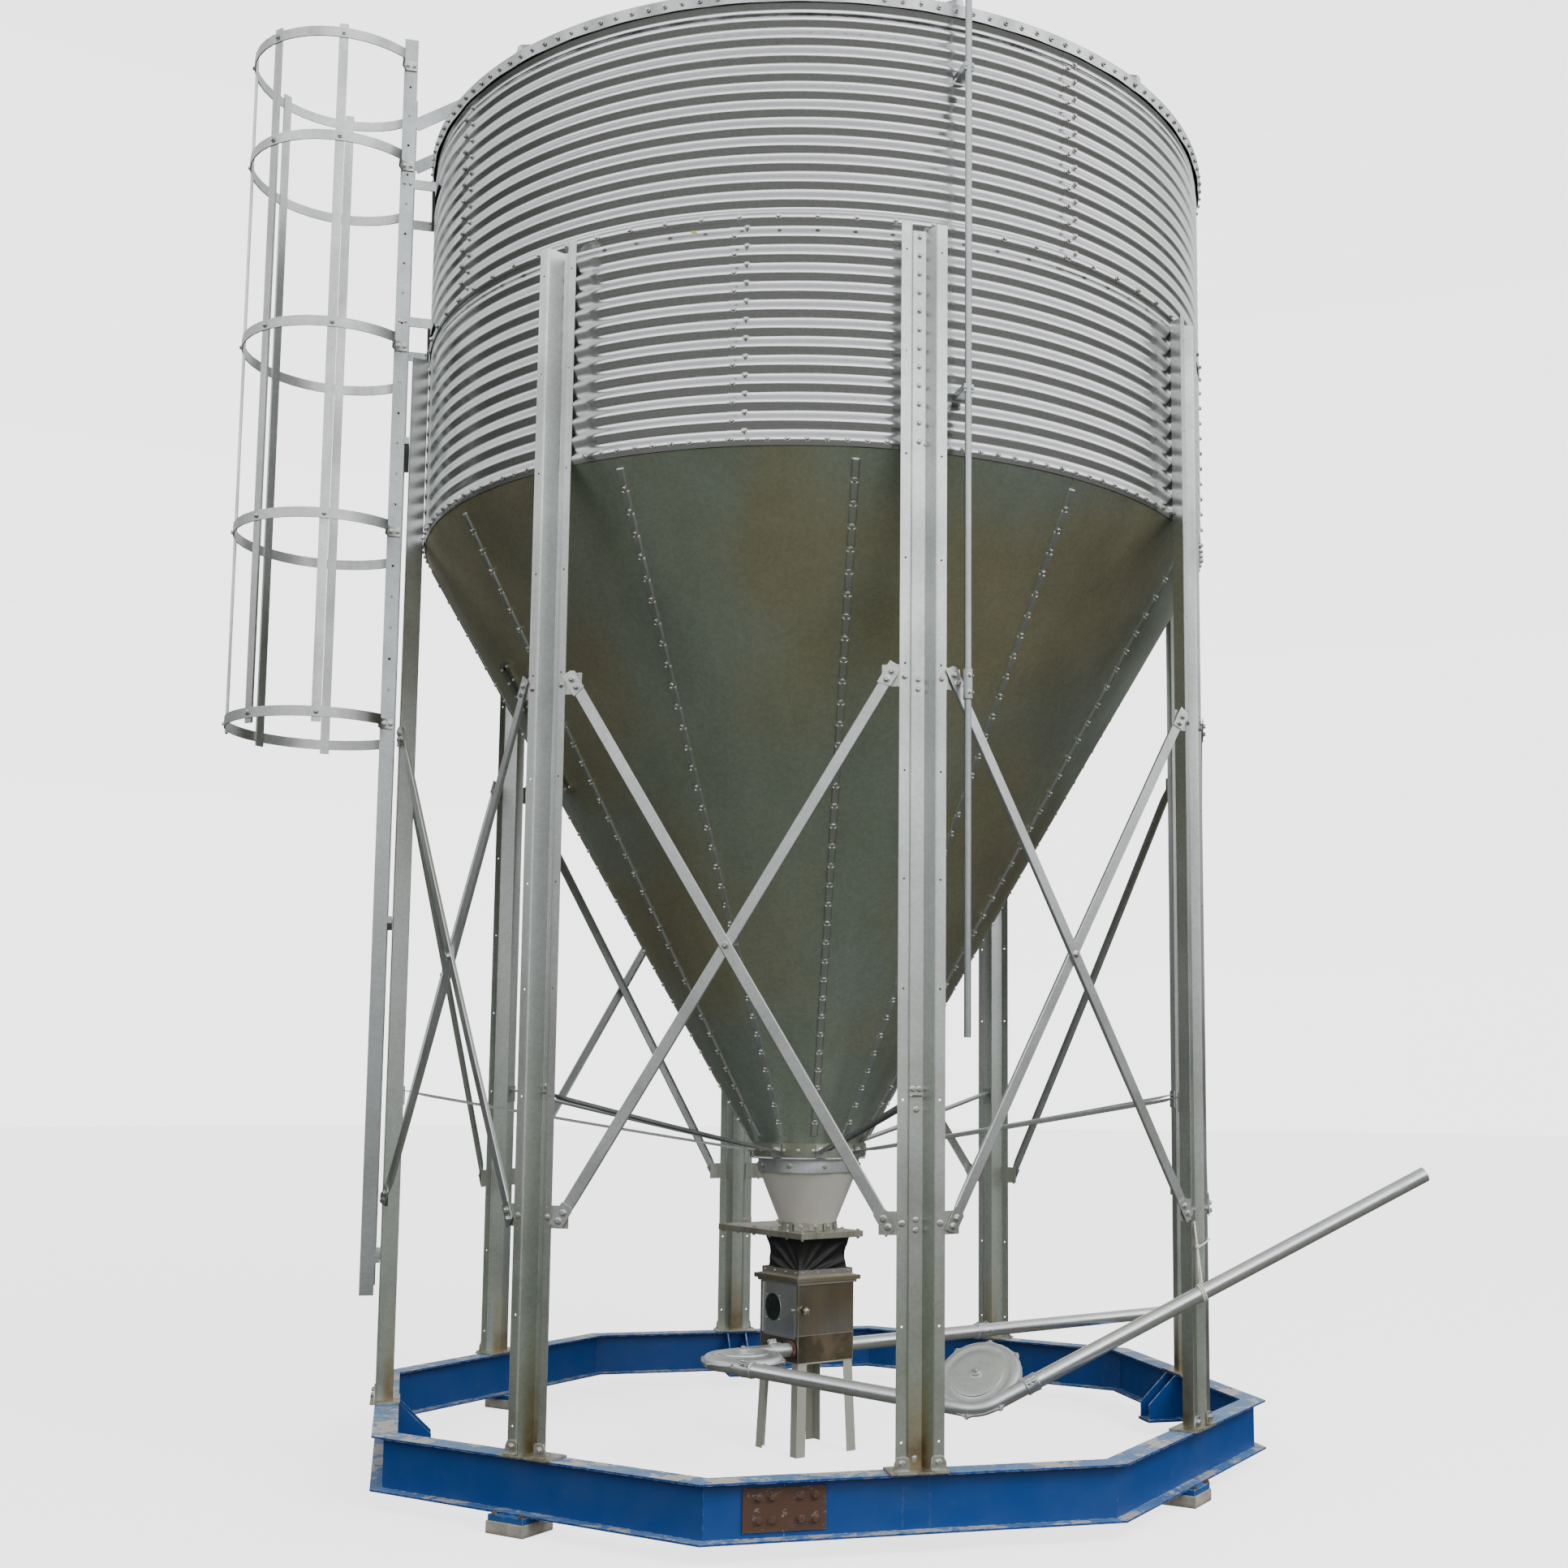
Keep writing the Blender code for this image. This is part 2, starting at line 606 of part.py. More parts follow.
def hopper():
    """Cone of four quarters of three panels, with a skirt inside the lowest corrugation. Each
    quarter is in a lower and an upper piece."""
    top_r = WALL_R - WALL_DEPTH - 2 * GAP
    low = COLLAR_TOP + GAP
    rim = RING_BOTTOM - LET_IN
    slope = atan2(rim - low, top_r - HOPPER_BOTTOM_R)
    across = HOPPER_SHEET / sin(slope)
    split_r = HOPPER_BOTTOM_R + (HOPPER_SPLIT - low) / tan(slope)
    joint = HOPPER_SPLIT + GAP
    joint_r = split_r + GAP / tan(slope)
    lower = [(split_r, HOPPER_SPLIT), (HOPPER_BOTTOM_R, low), (HOPPER_BOTTOM_R - across, low),
             (split_r - across, HOPPER_SPLIT)]
    upper = [(top_r, RING_BOTTOM + HOPPER_SKIRT), (top_r, rim), (joint_r, joint),
             (joint_r - across, joint), (top_r - across, rim + HOPPER_SHEET / 2),
             (top_r - HOPPER_SHEET, RING_BOTTOM + HOPPER_SKIRT)]
    for course, profile in (("lower", lower), ("upper", upper)):
        for number in range(4):
            start = HOPPER_FIRST_SEAM + 90.0 * number
            quarter = turned(profile, WALL_FACETS // 4, start + HOPPER_TRIM / 2,
                             90.0 - HOPPER_TRIM)
            finish(quarter, "hopper_%s_%d" % (course, number + 1), "hopper_sheet", True)


def hopper_collar():
    """Collar round the hopper's mouth, with a shelf inside its lower edge."""
    inner = HOPPER_BOTTOM_R - COLLAR_DEPTH
    shelf = COLLAR_BOTTOM + COLLAR_SHELF
    profile = [(HOPPER_BOTTOM_R, COLLAR_BOTTOM), (HOPPER_BOTTOM_R, COLLAR_TOP),
               (inner, COLLAR_TOP), (inner, shelf), (TRANSITION_TOP_R, shelf),
               (TRANSITION_TOP_R, COLLAR_BOTTOM)]
    ring = turned(profile, COLLAR_SIDES, -180.0 / COLLAR_SIDES)
    finish(ring, "hopper_collar", "leg_steel", True)


def transition():
    """Round reducer below the hopper collar, and the ring that joins it to the slide gate."""
    top = COLLAR_BOTTOM - GAP
    wall = OUTLET_WALL
    profile = [(TRANSITION_BAND_R, top), (TRANSITION_BAND_R, TRANSITION_SHOULDER),
               (TRANSITION_TOP_R, TRANSITION_SHOULDER), (OUTLET_NECK_R, OUTLET_NECK),
               (OUTLET_NECK_R - wall, OUTLET_NECK),
               (TRANSITION_TOP_R - wall, TRANSITION_SHOULDER), (TRANSITION_TOP_R - wall, top)]
    finish(turned(profile, 32), "outlet_transition", "pale_paint", True)
    under = OUTLET_NECK - GAP
    inner = OUTLET_NECK_R - wall
    ring = [(OUTLET_R, under), (OUTLET_R, OUTLET_BOTTOM), (inner, OUTLET_BOTTOM), (inner, under)]
    finish(turned(ring, 32), "outlet_ring", "pale_paint", True)


def slide_gate():
    """Gate frame with a slot along it, and the blade that slides in the slot.
    Drawn with "ahead" along -Y and then turned to the box's angle."""
    plate = box(-GATE_HALF, GATE_HALF, -GATE_AHEAD, -GATE_BACK, GATE_BOTTOM, GATE_TOP)
    slot_low, slot_high = GATE_SLOT
    slot = box(-BLADE_HALF - BLADE_PLAY, BLADE_HALF + BLADE_PLAY, -BLADE_AHEAD - BLADE_PLAY,
               -GATE_BACK + CUT_REACH, slot_low, slot_high)
    hole = rod((0, 0, GATE_BOTTOM - CUT_REACH), (0, 0, GATE_TOP + CUT_REACH), OUTLET_HOLE_R, 24)
    frame = turn(cut(plate, [slot, hole]), BOX_TURN)
    finish(frame, "gate_frame", "plate_steel")
    low = slot_low + GAP
    lip_thick, lip_height = PULL_LIP
    end = -GATE_BACK + PULL_END
    blade = box(-BLADE_HALF, BLADE_HALF, -BLADE_AHEAD, -BLADE_BACK, low, low + BLADE_THICK)
    strip = box(-PULL_HALF, PULL_HALF, -BLADE_BACK - LAP, end - LET_IN,
                low, low + BLADE_THICK)
    lip = box(-PULL_HALF, PULL_HALF, end - lip_thick, end, low, low + lip_height)
    blade = turn(fused([blade, strip, lip]), BOX_TURN)
    finish(blade, "gate_blade", "plate_steel")


def square_turned(profile):
    """A square shell whose faces stand at the box's angle. Radii are half the side."""
    corners = [(r * sqrt(2.0), z) for r, z in profile]
    return turned(corners, 4, BOX_TURN + 45.0)


def boot():
    """Square fabric sleeve, drawn in at the waist, with the strip that clamps it below."""
    side = BOOT_SIDE / 2
    waist = BOOT_WAIST / 2
    wall = BOOT_WALL
    middle = (BOOT_TOP + BOOT_BOTTOM) / 2
    draw, hem = BOOT_HEM
    profile = [(side, BOOT_TOP), (side - draw, BOOT_TOP - hem), (waist, middle),
               (side - draw, BOOT_BOTTOM + hem), (side, BOOT_BOTTOM), (side, STRIP_BOTTOM + GAP),
               (side - wall, STRIP_BOTTOM + GAP), (side - wall, BOOT_BOTTOM),
               (waist - wall, middle), (side - wall, BOOT_TOP)]
    finish(square_turned(profile), "boot", "black_fabric")


def box_face_frame(obj):
    """Carry a piece drawn on the front of the box round to the door's face."""
    return turn(obj, BOX_TURN - 90.0)


def intake_box():
    """Square box with a flange on top and a door opening in its left face."""
    side = BOX_SIDE / 2
    flange = BOX_FLANGE_SIDE / 2
    inner = side - BOX_WALL
    mouth = BOOT_SIDE / 2 - 2 * BOOT_WALL
    floor = BOX_BOTTOM + BOX_WALL
    rim = STRIP_BOTTOM
    under = rim - BOX_FLANGE_THICK
    profile = [(0.0, BOX_BOTTOM), (side, BOX_BOTTOM), (side, under), (flange, under),
               (flange, rim), (mouth, rim), (mouth, rim - BOX_WALL), (inner, rim - BOX_WALL),
               (inner, floor), (0.0, floor)]
    shell = square_turned(profile)
    opening = box(DOOR_LEFT + DOOR_LAP, DOOR_RIGHT - DOOR_LAP, -side - CUT_REACH,
                  -inner + CUT_REACH, DOOR_BOTTOM + DOOR_LAP, DOOR_TOP - DOOR_LAP)
    shell = cut(shell, [box_face_frame(opening)])
    finish(shell, "intake_box", "stainless")


def box_door():
    """Door with a round window, hung on a barrel at its left edge."""
    face = BOX_SIDE / 2 + GAP
    outer = face + DOOR_THICK
    low = DOOR_BOTTOM + HINGE_INSET
    high = DOOR_TOP - HINGE_INSET
    panel = box(DOOR_LEFT + DOOR_SEAM, DOOR_RIGHT, -outer, -face, DOOR_BOTTOM, DOOR_TOP)
    barrel_y = -(face + HINGE_R)
    barrel = rod((DOOR_LEFT, barrel_y, low), (DOOR_LEFT, barrel_y, high), HINGE_R - GAP, 12)
    leaf_width, leaf_thick = HINGE_LEAF
    leaf = box(DOOR_LEFT, DOOR_LEFT + leaf_width, -outer - leaf_thick, -outer + LET_IN,
               low + LET_IN, high - LET_IN)
    knob_in, knob_out, knob_r = KNOB
    knob_x = DOOR_RIGHT - knob_in
    knob = rod((knob_x, -outer - knob_out, WINDOW_Z), (knob_x, -outer + LET_IN, WINDOW_Z), knob_r)
    hole = rod((WINDOW_AHEAD, -outer - CUT_REACH, WINDOW_Z),
               (WINDOW_AHEAD, -face + CUT_REACH, WINDOW_Z), WINDOW_R, 32)
    door = cut(fused([panel, barrel, leaf, knob]), [hole])
    door = finish(box_face_frame(door), "box_door", "stainless", True)
    hinge = Vector((DOOR_LEFT, barrel_y, WINDOW_Z))
    pivot = Matrix.Rotation(radians(BOX_TURN - 90.0), 3, "Z") @ hinge
    pane = rod((WINDOW_AHEAD, -outer + HAIR, WINDOW_Z), (WINDOW_AHEAD, -face - HAIR, WINDOW_Z),
               WINDOW_R - GAP, 32)
    pane = finish(box_face_frame(pane), "door_window", "dark_glass", True)
    for moving in (door, pane):
        moving.data.transform(Matrix.Translation(-pivot))
        moving.location = pivot


def box_stand():
    """Four splayed angle legs under the box's corners, held by a thin square frame."""
    top = BOX_BOTTOM - GAP
    rim_width, rim_thick = STAND_RIM
    outer = BOX_SIDE / 2
    inner = outer - rim_width
    pieces = [square_turned([(outer, top - rim_thick), (outer, top), (inner, top),
                             (inner, top - rim_thick)])]
    flank = STAND_LEG / sqrt(2.0)
    for index in range(4):
        leg = folded_sheet([(-flank, flank), (0.0, 0.0), (flank, flank)],
                           0.0, top - LET_IN, STAND_SHEET)
        splay = Matrix.Identity(4)
        splay[1][2] = (STAND_FOOT_R - STAND_TOP_R) / top
        leg.data.transform(splay)
        shift(leg, 0.0, -STAND_FOOT_R + STAND_SET, 0.0)
        pieces.append(turn(leg, BOX_TURN + 45.0 + 90.0 * index))
    finish(fused(pieces), "box_stand", "pale_paint")


def feed_point(aside, z=FEED_Z):
    """A point of the feed line, measured along "aside" from the silo's axis."""
    ahead = at_angle(BOX_TURN, FEED_AHEAD)
    across = at_angle(BOX_TURN - 90.0, aside)
    return ahead + across + Vector((0, 0, z))


def wheel_housing(axis_x, axis_y, centre):
    """Two dished shells with a bolted rim, about a centre, lying in the plane of two axes."""
    upper = list(WHEEL_PROFILE)
    dish = upper[WHEEL_HUB_POINTS:]
    lower = [(r, -z) for r, z in reversed(dish)] + [(0.0, -dish[0][1])]
    body = turned(upper + lower, 32)
    normal = axis_x.cross(axis_y).normalized()
    frame = Matrix((axis_x, axis_y, normal)).transposed().to_4x4()
    body.data.transform(Matrix.Translation(centre) @ frame)
    return body


def tangent_from(centre, point, radius):
    """Where a line from a round wheel to a point leaves the wheel, on the side that faces
    away from the silo, in plan."""
    way = Vector((point.x - centre.x, point.y - centre.y, 0.0))
    base = atan2(way.y, way.x)
    spread = pi / 2 - atan2(radius, sqrt(way.length_squared - radius * radius))
    angle = base - spread
    return centre + Vector((radius * cos(angle), radius * sin(angle), 0.0))


def conveyor():
    """Feed tube through the box, two corner wheels, and the tubes that join them."""
    face = BOX_SIDE / 2 + GAP
    flange_r, flange_thick = FEED_FLANGE
    feed = [rod(feed_point(-face), feed_point(-face - flange_thick), flange_r, 16),
            rod(feed_point(-face - LET_IN), feed_point(-FEED_END), TUBE_R, 16),
            rod(feed_point(-FEED_SLEEVE[0]), feed_point(-FEED_SLEEVE[1]), SLEEVE_R, 16)]
    finish(fused(feed), "feed_tube", "tube_metal", True)

    left_neck, front_neck = WHEEL_NECKS
    wheel_at = at_angle(BOX_TURN, FEED_AHEAD + WHEEL_TUBE_R)
    wheel_at += at_angle(BOX_TURN - 90.0, WHEEL_ASIDE, FEED_Z)
    link_start = tangent_from(wheel_at, BEND_POINT, WHEEL_TUBE_R)
    link_way = (BEND_POINT - link_start).normalized()
    clamp_r, clamp_thick = BOX_CLAMP
    left = [wheel_housing(Vector((1, 0, 0)), Vector((0, 1, 0)), wheel_at),
            rod(feed_point(WHEEL_ASIDE), feed_point(face + clamp_thick / 2), TUBE_R, 16),
            rod(feed_point(face + clamp_thick), feed_point(face), clamp_r, 16),
            rod(link_start, link_start + link_way * left_neck, TUBE_R, 16)]
    finish(fused(left), "corner_wheel_left", "tube_metal", True)

    turn_out = radians(FRONT_TURN)
    front_way = Vector((cos(turn_out), sin(turn_out), FRONT_RISE)).normalized()
    setback = WHEEL_TUBE_R * tan(link_way.angle(front_way) / 2)
    bend_in = BEND_POINT - link_way * setback
    bend_out = BEND_POINT + front_way * setback
    inward = link_way.cross(front_way).normalized().cross(link_way)
    centre = bend_in + inward * WHEEL_TUBE_R
    front = [wheel_housing(link_way, inward, centre)]
    for start, way in ((bend_in, -link_way), (bend_out, front_way)):
        front.append(rod(start, start + way * (front_neck - LAP), TUBE_R, 16))
        front.append(rod(start + way * (front_neck - NECK_SLEEVE), start + way * front_neck,
                         SLEEVE_R, 16))
    finish(fused(front), "corner_wheel_front", "tube_metal", True)

    link = rod(link_start + link_way * (left_neck + GAP), bend_in - link_way * (front_neck + GAP),
               TUBE_R, 16)
    finish(link, "link_tube", "tube_metal", True)
    front_start = bend_out + front_way * (front_neck + GAP)
    tube = rod(front_start, front_start + front_way * FRONT_LENGTH, TUBE_R, 16)
    finish(tube, "front_tube", "tube_metal", True)
    return front_start, front_way


def twine(front_start, front_way):
    """Taut twine from the lip of the front right leg down to the front tube."""
    sideways = Vector((cos(radians(LEG_STEP)), sin(radians(LEG_STEP)), 0.0))
    top = at_angle(LEG_STEP, LEG_LIP_R + TWINE_R + GAP, TWINE_TOP) - sideways * TWINE_ASIDE
    run = (top.x - front_start.x) / front_way.x
    low = front_start + front_way * run
    low.z += TUBE_R / front_way.to_2d().length + TWINE_R / 2
    strand = bpy.data.curves.new("twine", "CURVE")
    strand.dimensions = "3D"
    strand.bevel_depth = TWINE_R
    strand.bevel_resolution = 1
    strand.use_fill_caps = True
    spline = strand.splines.new("POLY")
    spline.points.add(1)
    spline.points[0].co = (*top, 1.0)
    spline.points[1].co = (*low, 1.0)
    obj = bpy.data.objects.new("twine", strand)
    SILO.objects.link(obj)
    finish(baked(obj), "twine", "twine", True)


def roof():
    """Cone of roof with a drip skirt over the wall, the filler collar and its lid."""
    under = ROOF_SHEET / cos(ROOF_SLOPE)
    rise = (EAVE_R - FILLER_R) * tan(ROOF_SLOPE)
    mouth_z = EAVE_Z + rise
    skirt_in = WALL_R + 2 * GAP
    skirt_under = EAVE_Z - under + (EAVE_R - skirt_in) * tan(ROOF_SLOPE)
    profile = [(FILLER_R, mouth_z), (EAVE_R, EAVE_Z), (EAVE_R, EAVE_Z - EAVE_SKIRT),
               (skirt_in, EAVE_Z - EAVE_SKIRT), (skirt_in, skirt_under),
               (FILLER_R, mouth_z - under)]
    finish(turned(profile, WALL_FACETS, LEG_STEP / 2), "roof", "galvanised", True)
    outer = FILLER_R + FILLER_WALL
    inner = FILLER_R - FILLER_WALL
    collar = [(outer, mouth_z + GAP), (outer, FILLER_TOP), (inner, FILLER_TOP),
              (inner, mouth_z + GAP)]
    finish(turned(collar, 32), "filler_collar", "galvanised", True)
    base = FILLER_TOP + GAP
    button_r, button_drop = LID_BUTTON
    edge, edge_top = LID_EDGE
    lid = [(0.0, LID_TOP), (button_r, LID_TOP - button_drop), (LID_R - edge, base + edge_top),
           (LID_R, base + edge), (LID_R, base), (0.0, base)]
    finish(turned(lid, 32), "lid", "galvanised", True)


def lid_rod():
    """Rod up the wall and over the roof to the lid, on two clips at the wall."""
    foot = at_angle(ROD_ANGLE, ROD_R, ROD_BOTTOM)
    elbow = at_angle(ROD_ANGLE, ROD_R, EAVE_Z + ROD_ELBOW)
    near_lid = at_angle(ROD_ANGLE, LID_R + ROD_THICK / 2 + GAP, FILLER_TOP + ROD_END)
    strand = bpy.data.curves.new("rod", "CURVE")
    strand.dimensions = "3D"
    strand.bevel_depth = ROD_THICK
    strand.bevel_resolution = 2
    strand.use_fill_caps = True
    spline = strand.splines.new("POLY")
    before = elbow - Vector((0, 0, ROD_BEND))
    after = elbow + (near_lid - elbow).normalized() * ROD_BEND
    points = [foot, before, elbow + (before + after - 2 * elbow) * 0.25, after, near_lid]
    spline.points.add(len(points) - 1)
    for item, point in zip(spline.points, points):
        item.co = (*point, 1.0)
    obj = bpy.data.objects.new("rod", strand)
    SILO.objects.link(obj)
    pieces = [baked(obj)]
    facet_step = 360.0 / WALL_FACETS
    facet = round(ROD_ANGLE / facet_step) * facet_step
    clip_half, clip_high = ROD_CLIP
    for z in ROD_CLIPS:
        clip = front_box(clip_half, FACET_FLAT + GAP, ROD_R - LAP, z - clip_high, z + clip_high)
        pieces.append(turn(clip, facet))
    sleeve_low, sleeve_high, sleeve_r = ROD_SLEEVE
    pieces.append(rod(at_angle(ROD_ANGLE, ROD_R, sleeve_low),
                      at_angle(ROD_ANGLE, ROD_R, sleeve_high), sleeve_r))
    finish(fused(pieces), "lid_rod", "galvanised", True)


def ladder():
    """Ladder outside the left leg, on stand-off bars, with a bar and a post to the roof."""
    near_x = LADDER_X + STILE_DEPTH / 2
    far_x = LADDER_X - STILE_DEPTH / 2
    pieces = []
    for side, top in zip((-1, 1), STILE_TOPS):
        y0 = side * LADDER_HALF - STILE_THICK / 2
        pieces.append(box(far_x, near_x, y0, y0 + STILE_THICK, STILE_BOTTOM, top))
    for index in range(RUNG_COUNT):
        z = RUNG_FIRST + RUNG_PITCH * index
        pieces.append(rod((LADDER_X, -LADDER_HALF, z), (LADDER_X, LADDER_HALF, z), RUNG_R, 8))
    lips = -LEG_LIP_R - GAP
    for z in LEG_STANDOFFS:
        pieces.append(box(near_x - LAP, lips, -LADDER_HALF, LADDER_HALF,
                          z - LEG_STANDOFF_HALF, z + LEG_STANDOFF_HALF))
    wall_x = -(FACET_FLAT + GAP)
    half, tall = STANDOFF_BAR
    for z in WALL_STANDOFFS:
        for side in (-1, 1):
            y = side * LADDER_HALF
            pieces.append(box(near_x - LAP, wall_x - CROSS_BAR + LAP, y - half, y + half,
                              z - tall, z + tall))
        pieces.append(box(wall_x - CROSS_BAR, wall_x, -LADDER_HALF - half, LADDER_HALF + half,
                          z - tall, z + tall))
    post_x = -ROOF_POST_R
    roof_z = EAVE_Z + (EAVE_R - ROOF_POST_R + ROOF_POST_HALF) * tan(ROOF_SLOPE) + GAP
    run = post_x - near_x
    rise = ROOF_POST_TOP - ROOF_BAR_START
    post_half = ROOF_POST_THICK / 2
    for side in (-1, 1):
        y = side * LADDER_HALF
        bar = box(0.0, hypot(run, rise), -half, half, -ROOF_BAR_HALF, ROOF_BAR_HALF)
        bar.data.transform(Matrix.Rotation(-atan2(rise, run), 4, "Y"))
        pieces.append(shift(bar, near_x - LAP, y, ROOF_BAR_START))
        pieces.append(box(post_x - ROOF_POST_HALF, post_x + ROOF_POST_HALF, y - post_half,
                          y + post_half, roof_z, ROOF_POST_TOP))
    finish(fused(pieces), "ladder", "galvanised")


def cage():
    """Hoops of flat bar round the climber, joined by uprights on their inner side."""
    height, thick = CAGE_BAR
    arc = []
    count = round((360.0 - 2 * CAGE_OPEN) / CAGE_STEP)
    for index in range(count + 1):
        angle = radians(CAGE_OPEN + (360.0 - 2 * CAGE_OPEN) * index / count)
        arc.append((CAGE_X + CAGE_R * cos(angle), CAGE_R * sin(angle)))
    tab = LADDER_HALF + STILE_THICK / 2 + GAP
    near_x = LADDER_X + STILE_DEPTH / 2
    far_x = LADDER_X - STILE_DEPTH / 2
    back, past, out = CAGE_HOOK
    hook = [(near_x - LAP, tab), (far_x + back, tab), (far_x - past, tab + out)]
    path = hook + arc + [(x, -y) for x, y in reversed(hook)]
    pieces = []
    for z in CAGE_HOOPS:
        pieces.append(folded_sheet(path, z - height / 2, z + height / 2, thick))
    bar_thick, bar_half, beyond = CAGE_UPRIGHT
    low = CAGE_HOOPS[-1] - height / 2 - beyond
    high = CAGE_HOOPS[0] + height / 2 + beyond
    for angle in CAGE_UPRIGHTS:
        bar = box(CAGE_R - bar_thick, CAGE_R + LET_IN, -bar_half, bar_half, low, high)
        bar.data.transform(Matrix.Rotation(radians(angle), 4, "Z"))
        pieces.append(shift(bar, CAGE_X, 0.0, 0.0))
    finish(fused(pieces), "ladder_cage", "galvanised")


def centre_on_origin():
    """Carry every piece on an empty so that the silo's box is centred over the origin."""
    bpy.context.view_layer.update()
    solids = [obj for obj in SILO.objects if obj.type == "MESH"]
    corners = [obj.matrix_world @ vertex.co for obj in solids for vertex in obj.data.vertices]
    middle_x = (min(c.x for c in corners) + max(c.x for c in corners)) / 2
    middle_y = (min(c.y for c in corners) + max(c.y for c in corners)) / 2
    carrier = bpy.data.objects.new("silo_axis", None)
    SILO.objects.link(carrier)
    for obj in solids:
        obj.parent = carrier
    carrier.location = (-middle_x, -middle_y, 0.0)


def build():
    base_ring()
    splice_plates()
    foot_pads()
    legs()
    braces()
    wall_rings()
    hopper()
    hopper_collar()
    transition()
    slide_gate()
    boot()
    intake_box()
    box_door()
    box_stand()
    front_start, front_way = conveyor()
    twine(front_start, front_way)
    roof()
    lid_rod()
    ladder()
    cage()
    centre_on_origin()


build()
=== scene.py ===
# Looks of the grain silo: corrugated sheets, bolts, paint, fabric and castings on the packed
# frame. Everything is drawn about the silo's own axis, in metres, with angles from the front
# (-Y) towards the right (+X), and is then moved by AXIS into the row frame.

import random
from itertools import product
from math import atan2, cos, hypot, pi, radians, sin, sqrt, tan

import bmesh
import bpy
from mathutils import Matrix, Vector, noise


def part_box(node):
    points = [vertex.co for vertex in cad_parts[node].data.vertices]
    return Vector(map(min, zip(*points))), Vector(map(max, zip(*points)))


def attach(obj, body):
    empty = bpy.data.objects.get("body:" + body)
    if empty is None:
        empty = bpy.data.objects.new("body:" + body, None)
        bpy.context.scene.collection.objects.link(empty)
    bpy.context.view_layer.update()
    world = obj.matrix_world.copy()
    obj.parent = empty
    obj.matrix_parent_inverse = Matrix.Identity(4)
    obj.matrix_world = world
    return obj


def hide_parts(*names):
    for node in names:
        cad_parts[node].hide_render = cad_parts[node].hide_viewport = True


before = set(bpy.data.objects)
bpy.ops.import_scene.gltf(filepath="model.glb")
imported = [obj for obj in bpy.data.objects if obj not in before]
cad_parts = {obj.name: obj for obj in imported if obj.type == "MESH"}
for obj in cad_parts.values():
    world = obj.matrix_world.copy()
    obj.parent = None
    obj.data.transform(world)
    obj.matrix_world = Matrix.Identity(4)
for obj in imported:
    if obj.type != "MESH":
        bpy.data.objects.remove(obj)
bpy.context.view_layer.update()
ROOF_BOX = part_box("roof")
AXIS = Vector(((ROOF_BOX[0].x + ROOF_BOX[1].x) / 2, (ROOF_BOX[0].y + ROOF_BOX[1].y) / 2, 0.0))
dice = random.Random(11)

# Directions in the frame of a side that faces the front
FRONT = (0, -1, 0)
UP = (0, 0, 1)
# Stands a plan outline up, so that it is seen from the front
LYING = Matrix(((1, 0, 0, 0), (0, 0, -1, 0), (0, 1, 0, 0), (0, 0, 0, 1)))

LEG_NAMES = ("front", "front_right", "right", "back_right",
             "back", "back_left", "left", "front_left")

# Wall: pitch, height of the lowest crest and edges of the two courses, as fitted to the photo
PITCH = 0.0737
CREST = 4.093
WALL_MID = 1.824
WAVE = 0.006
WALL_SHEET = 0.0018
LOWER_EDGE = 4.070
MIDDLE_EDGE = 4.961
MIDDLE_CREST = CREST + 12 * PITCH
LOWER_SEAM = -22.5
UPPER_SEAM = 22.5 - 1.3
# How far the upper course stands over the lower one
COURSE_LAP = 0.0044
EAVE_Z = 5.898
EAVE_R = 1.845
ROOF_SLOPE = radians(26.0)

# Hopper, as radius and height of its outer face, and the rows of bolts on a seam
CONE_TOP = (1.8172, 4.069)
CONE_LOW = (0.2625, 1.3885)
SEAM_BAYS = 34

# Legs: faces of lip and web, top, and heights of the brace brackets with their outer face
LIP_R = 1.9045
WEB_R = 1.8304
LEG_TOP = 4.947
BRACKETS = (1.160, 3.170)
BRACKET_SEAT = 1.9020
# Where a bracket's wing is bent back, and half the turn from leg to leg
WING = 0.097
HALF_BAY = radians(22.5)

# Ring beam: top, outer side, outer face of the web, and the heights between its flanges
BEAM_TOP = 0.2803
BEAM_OUTER = 1.905
BEAM_WEB = 1.858
BEAM_LOW = 0.078
BEAM_HIGH = 0.272


def turn_z(degrees):
    return Matrix.Rotation(radians(degrees), 4, "Z")


def at(degrees, radius, z=0.0):
    angle = radians(degrees)
    return Vector((radius * sin(angle), -radius * cos(angle), z))


def round_at(turn, radius, z=0.0):
    """A point of a circle about Z, by its turn in radians from X."""
    return Vector((radius * cos(turn), radius * sin(turn), z))


def turns(count, first=0.0):
    """Equal steps round a circle, in radians."""
    return [first + 2 * pi * k / count for k in range(count)]


def aimed(origin, way):
    """A frame at origin whose Z runs along way."""
    turn = Vector(way).to_track_quat("Z", "Y").to_matrix().to_4x4()
    return Matrix.Translation(origin) @ turn


def ease(t):
    t = min(max(t, 0.0), 1.0)
    return t * t * (3 - 2 * t)


def soft_corner(before, corner, after, t):
    return before * (1 - t) ** 2 + corner * 2 * t * (1 - t) + after * t * t


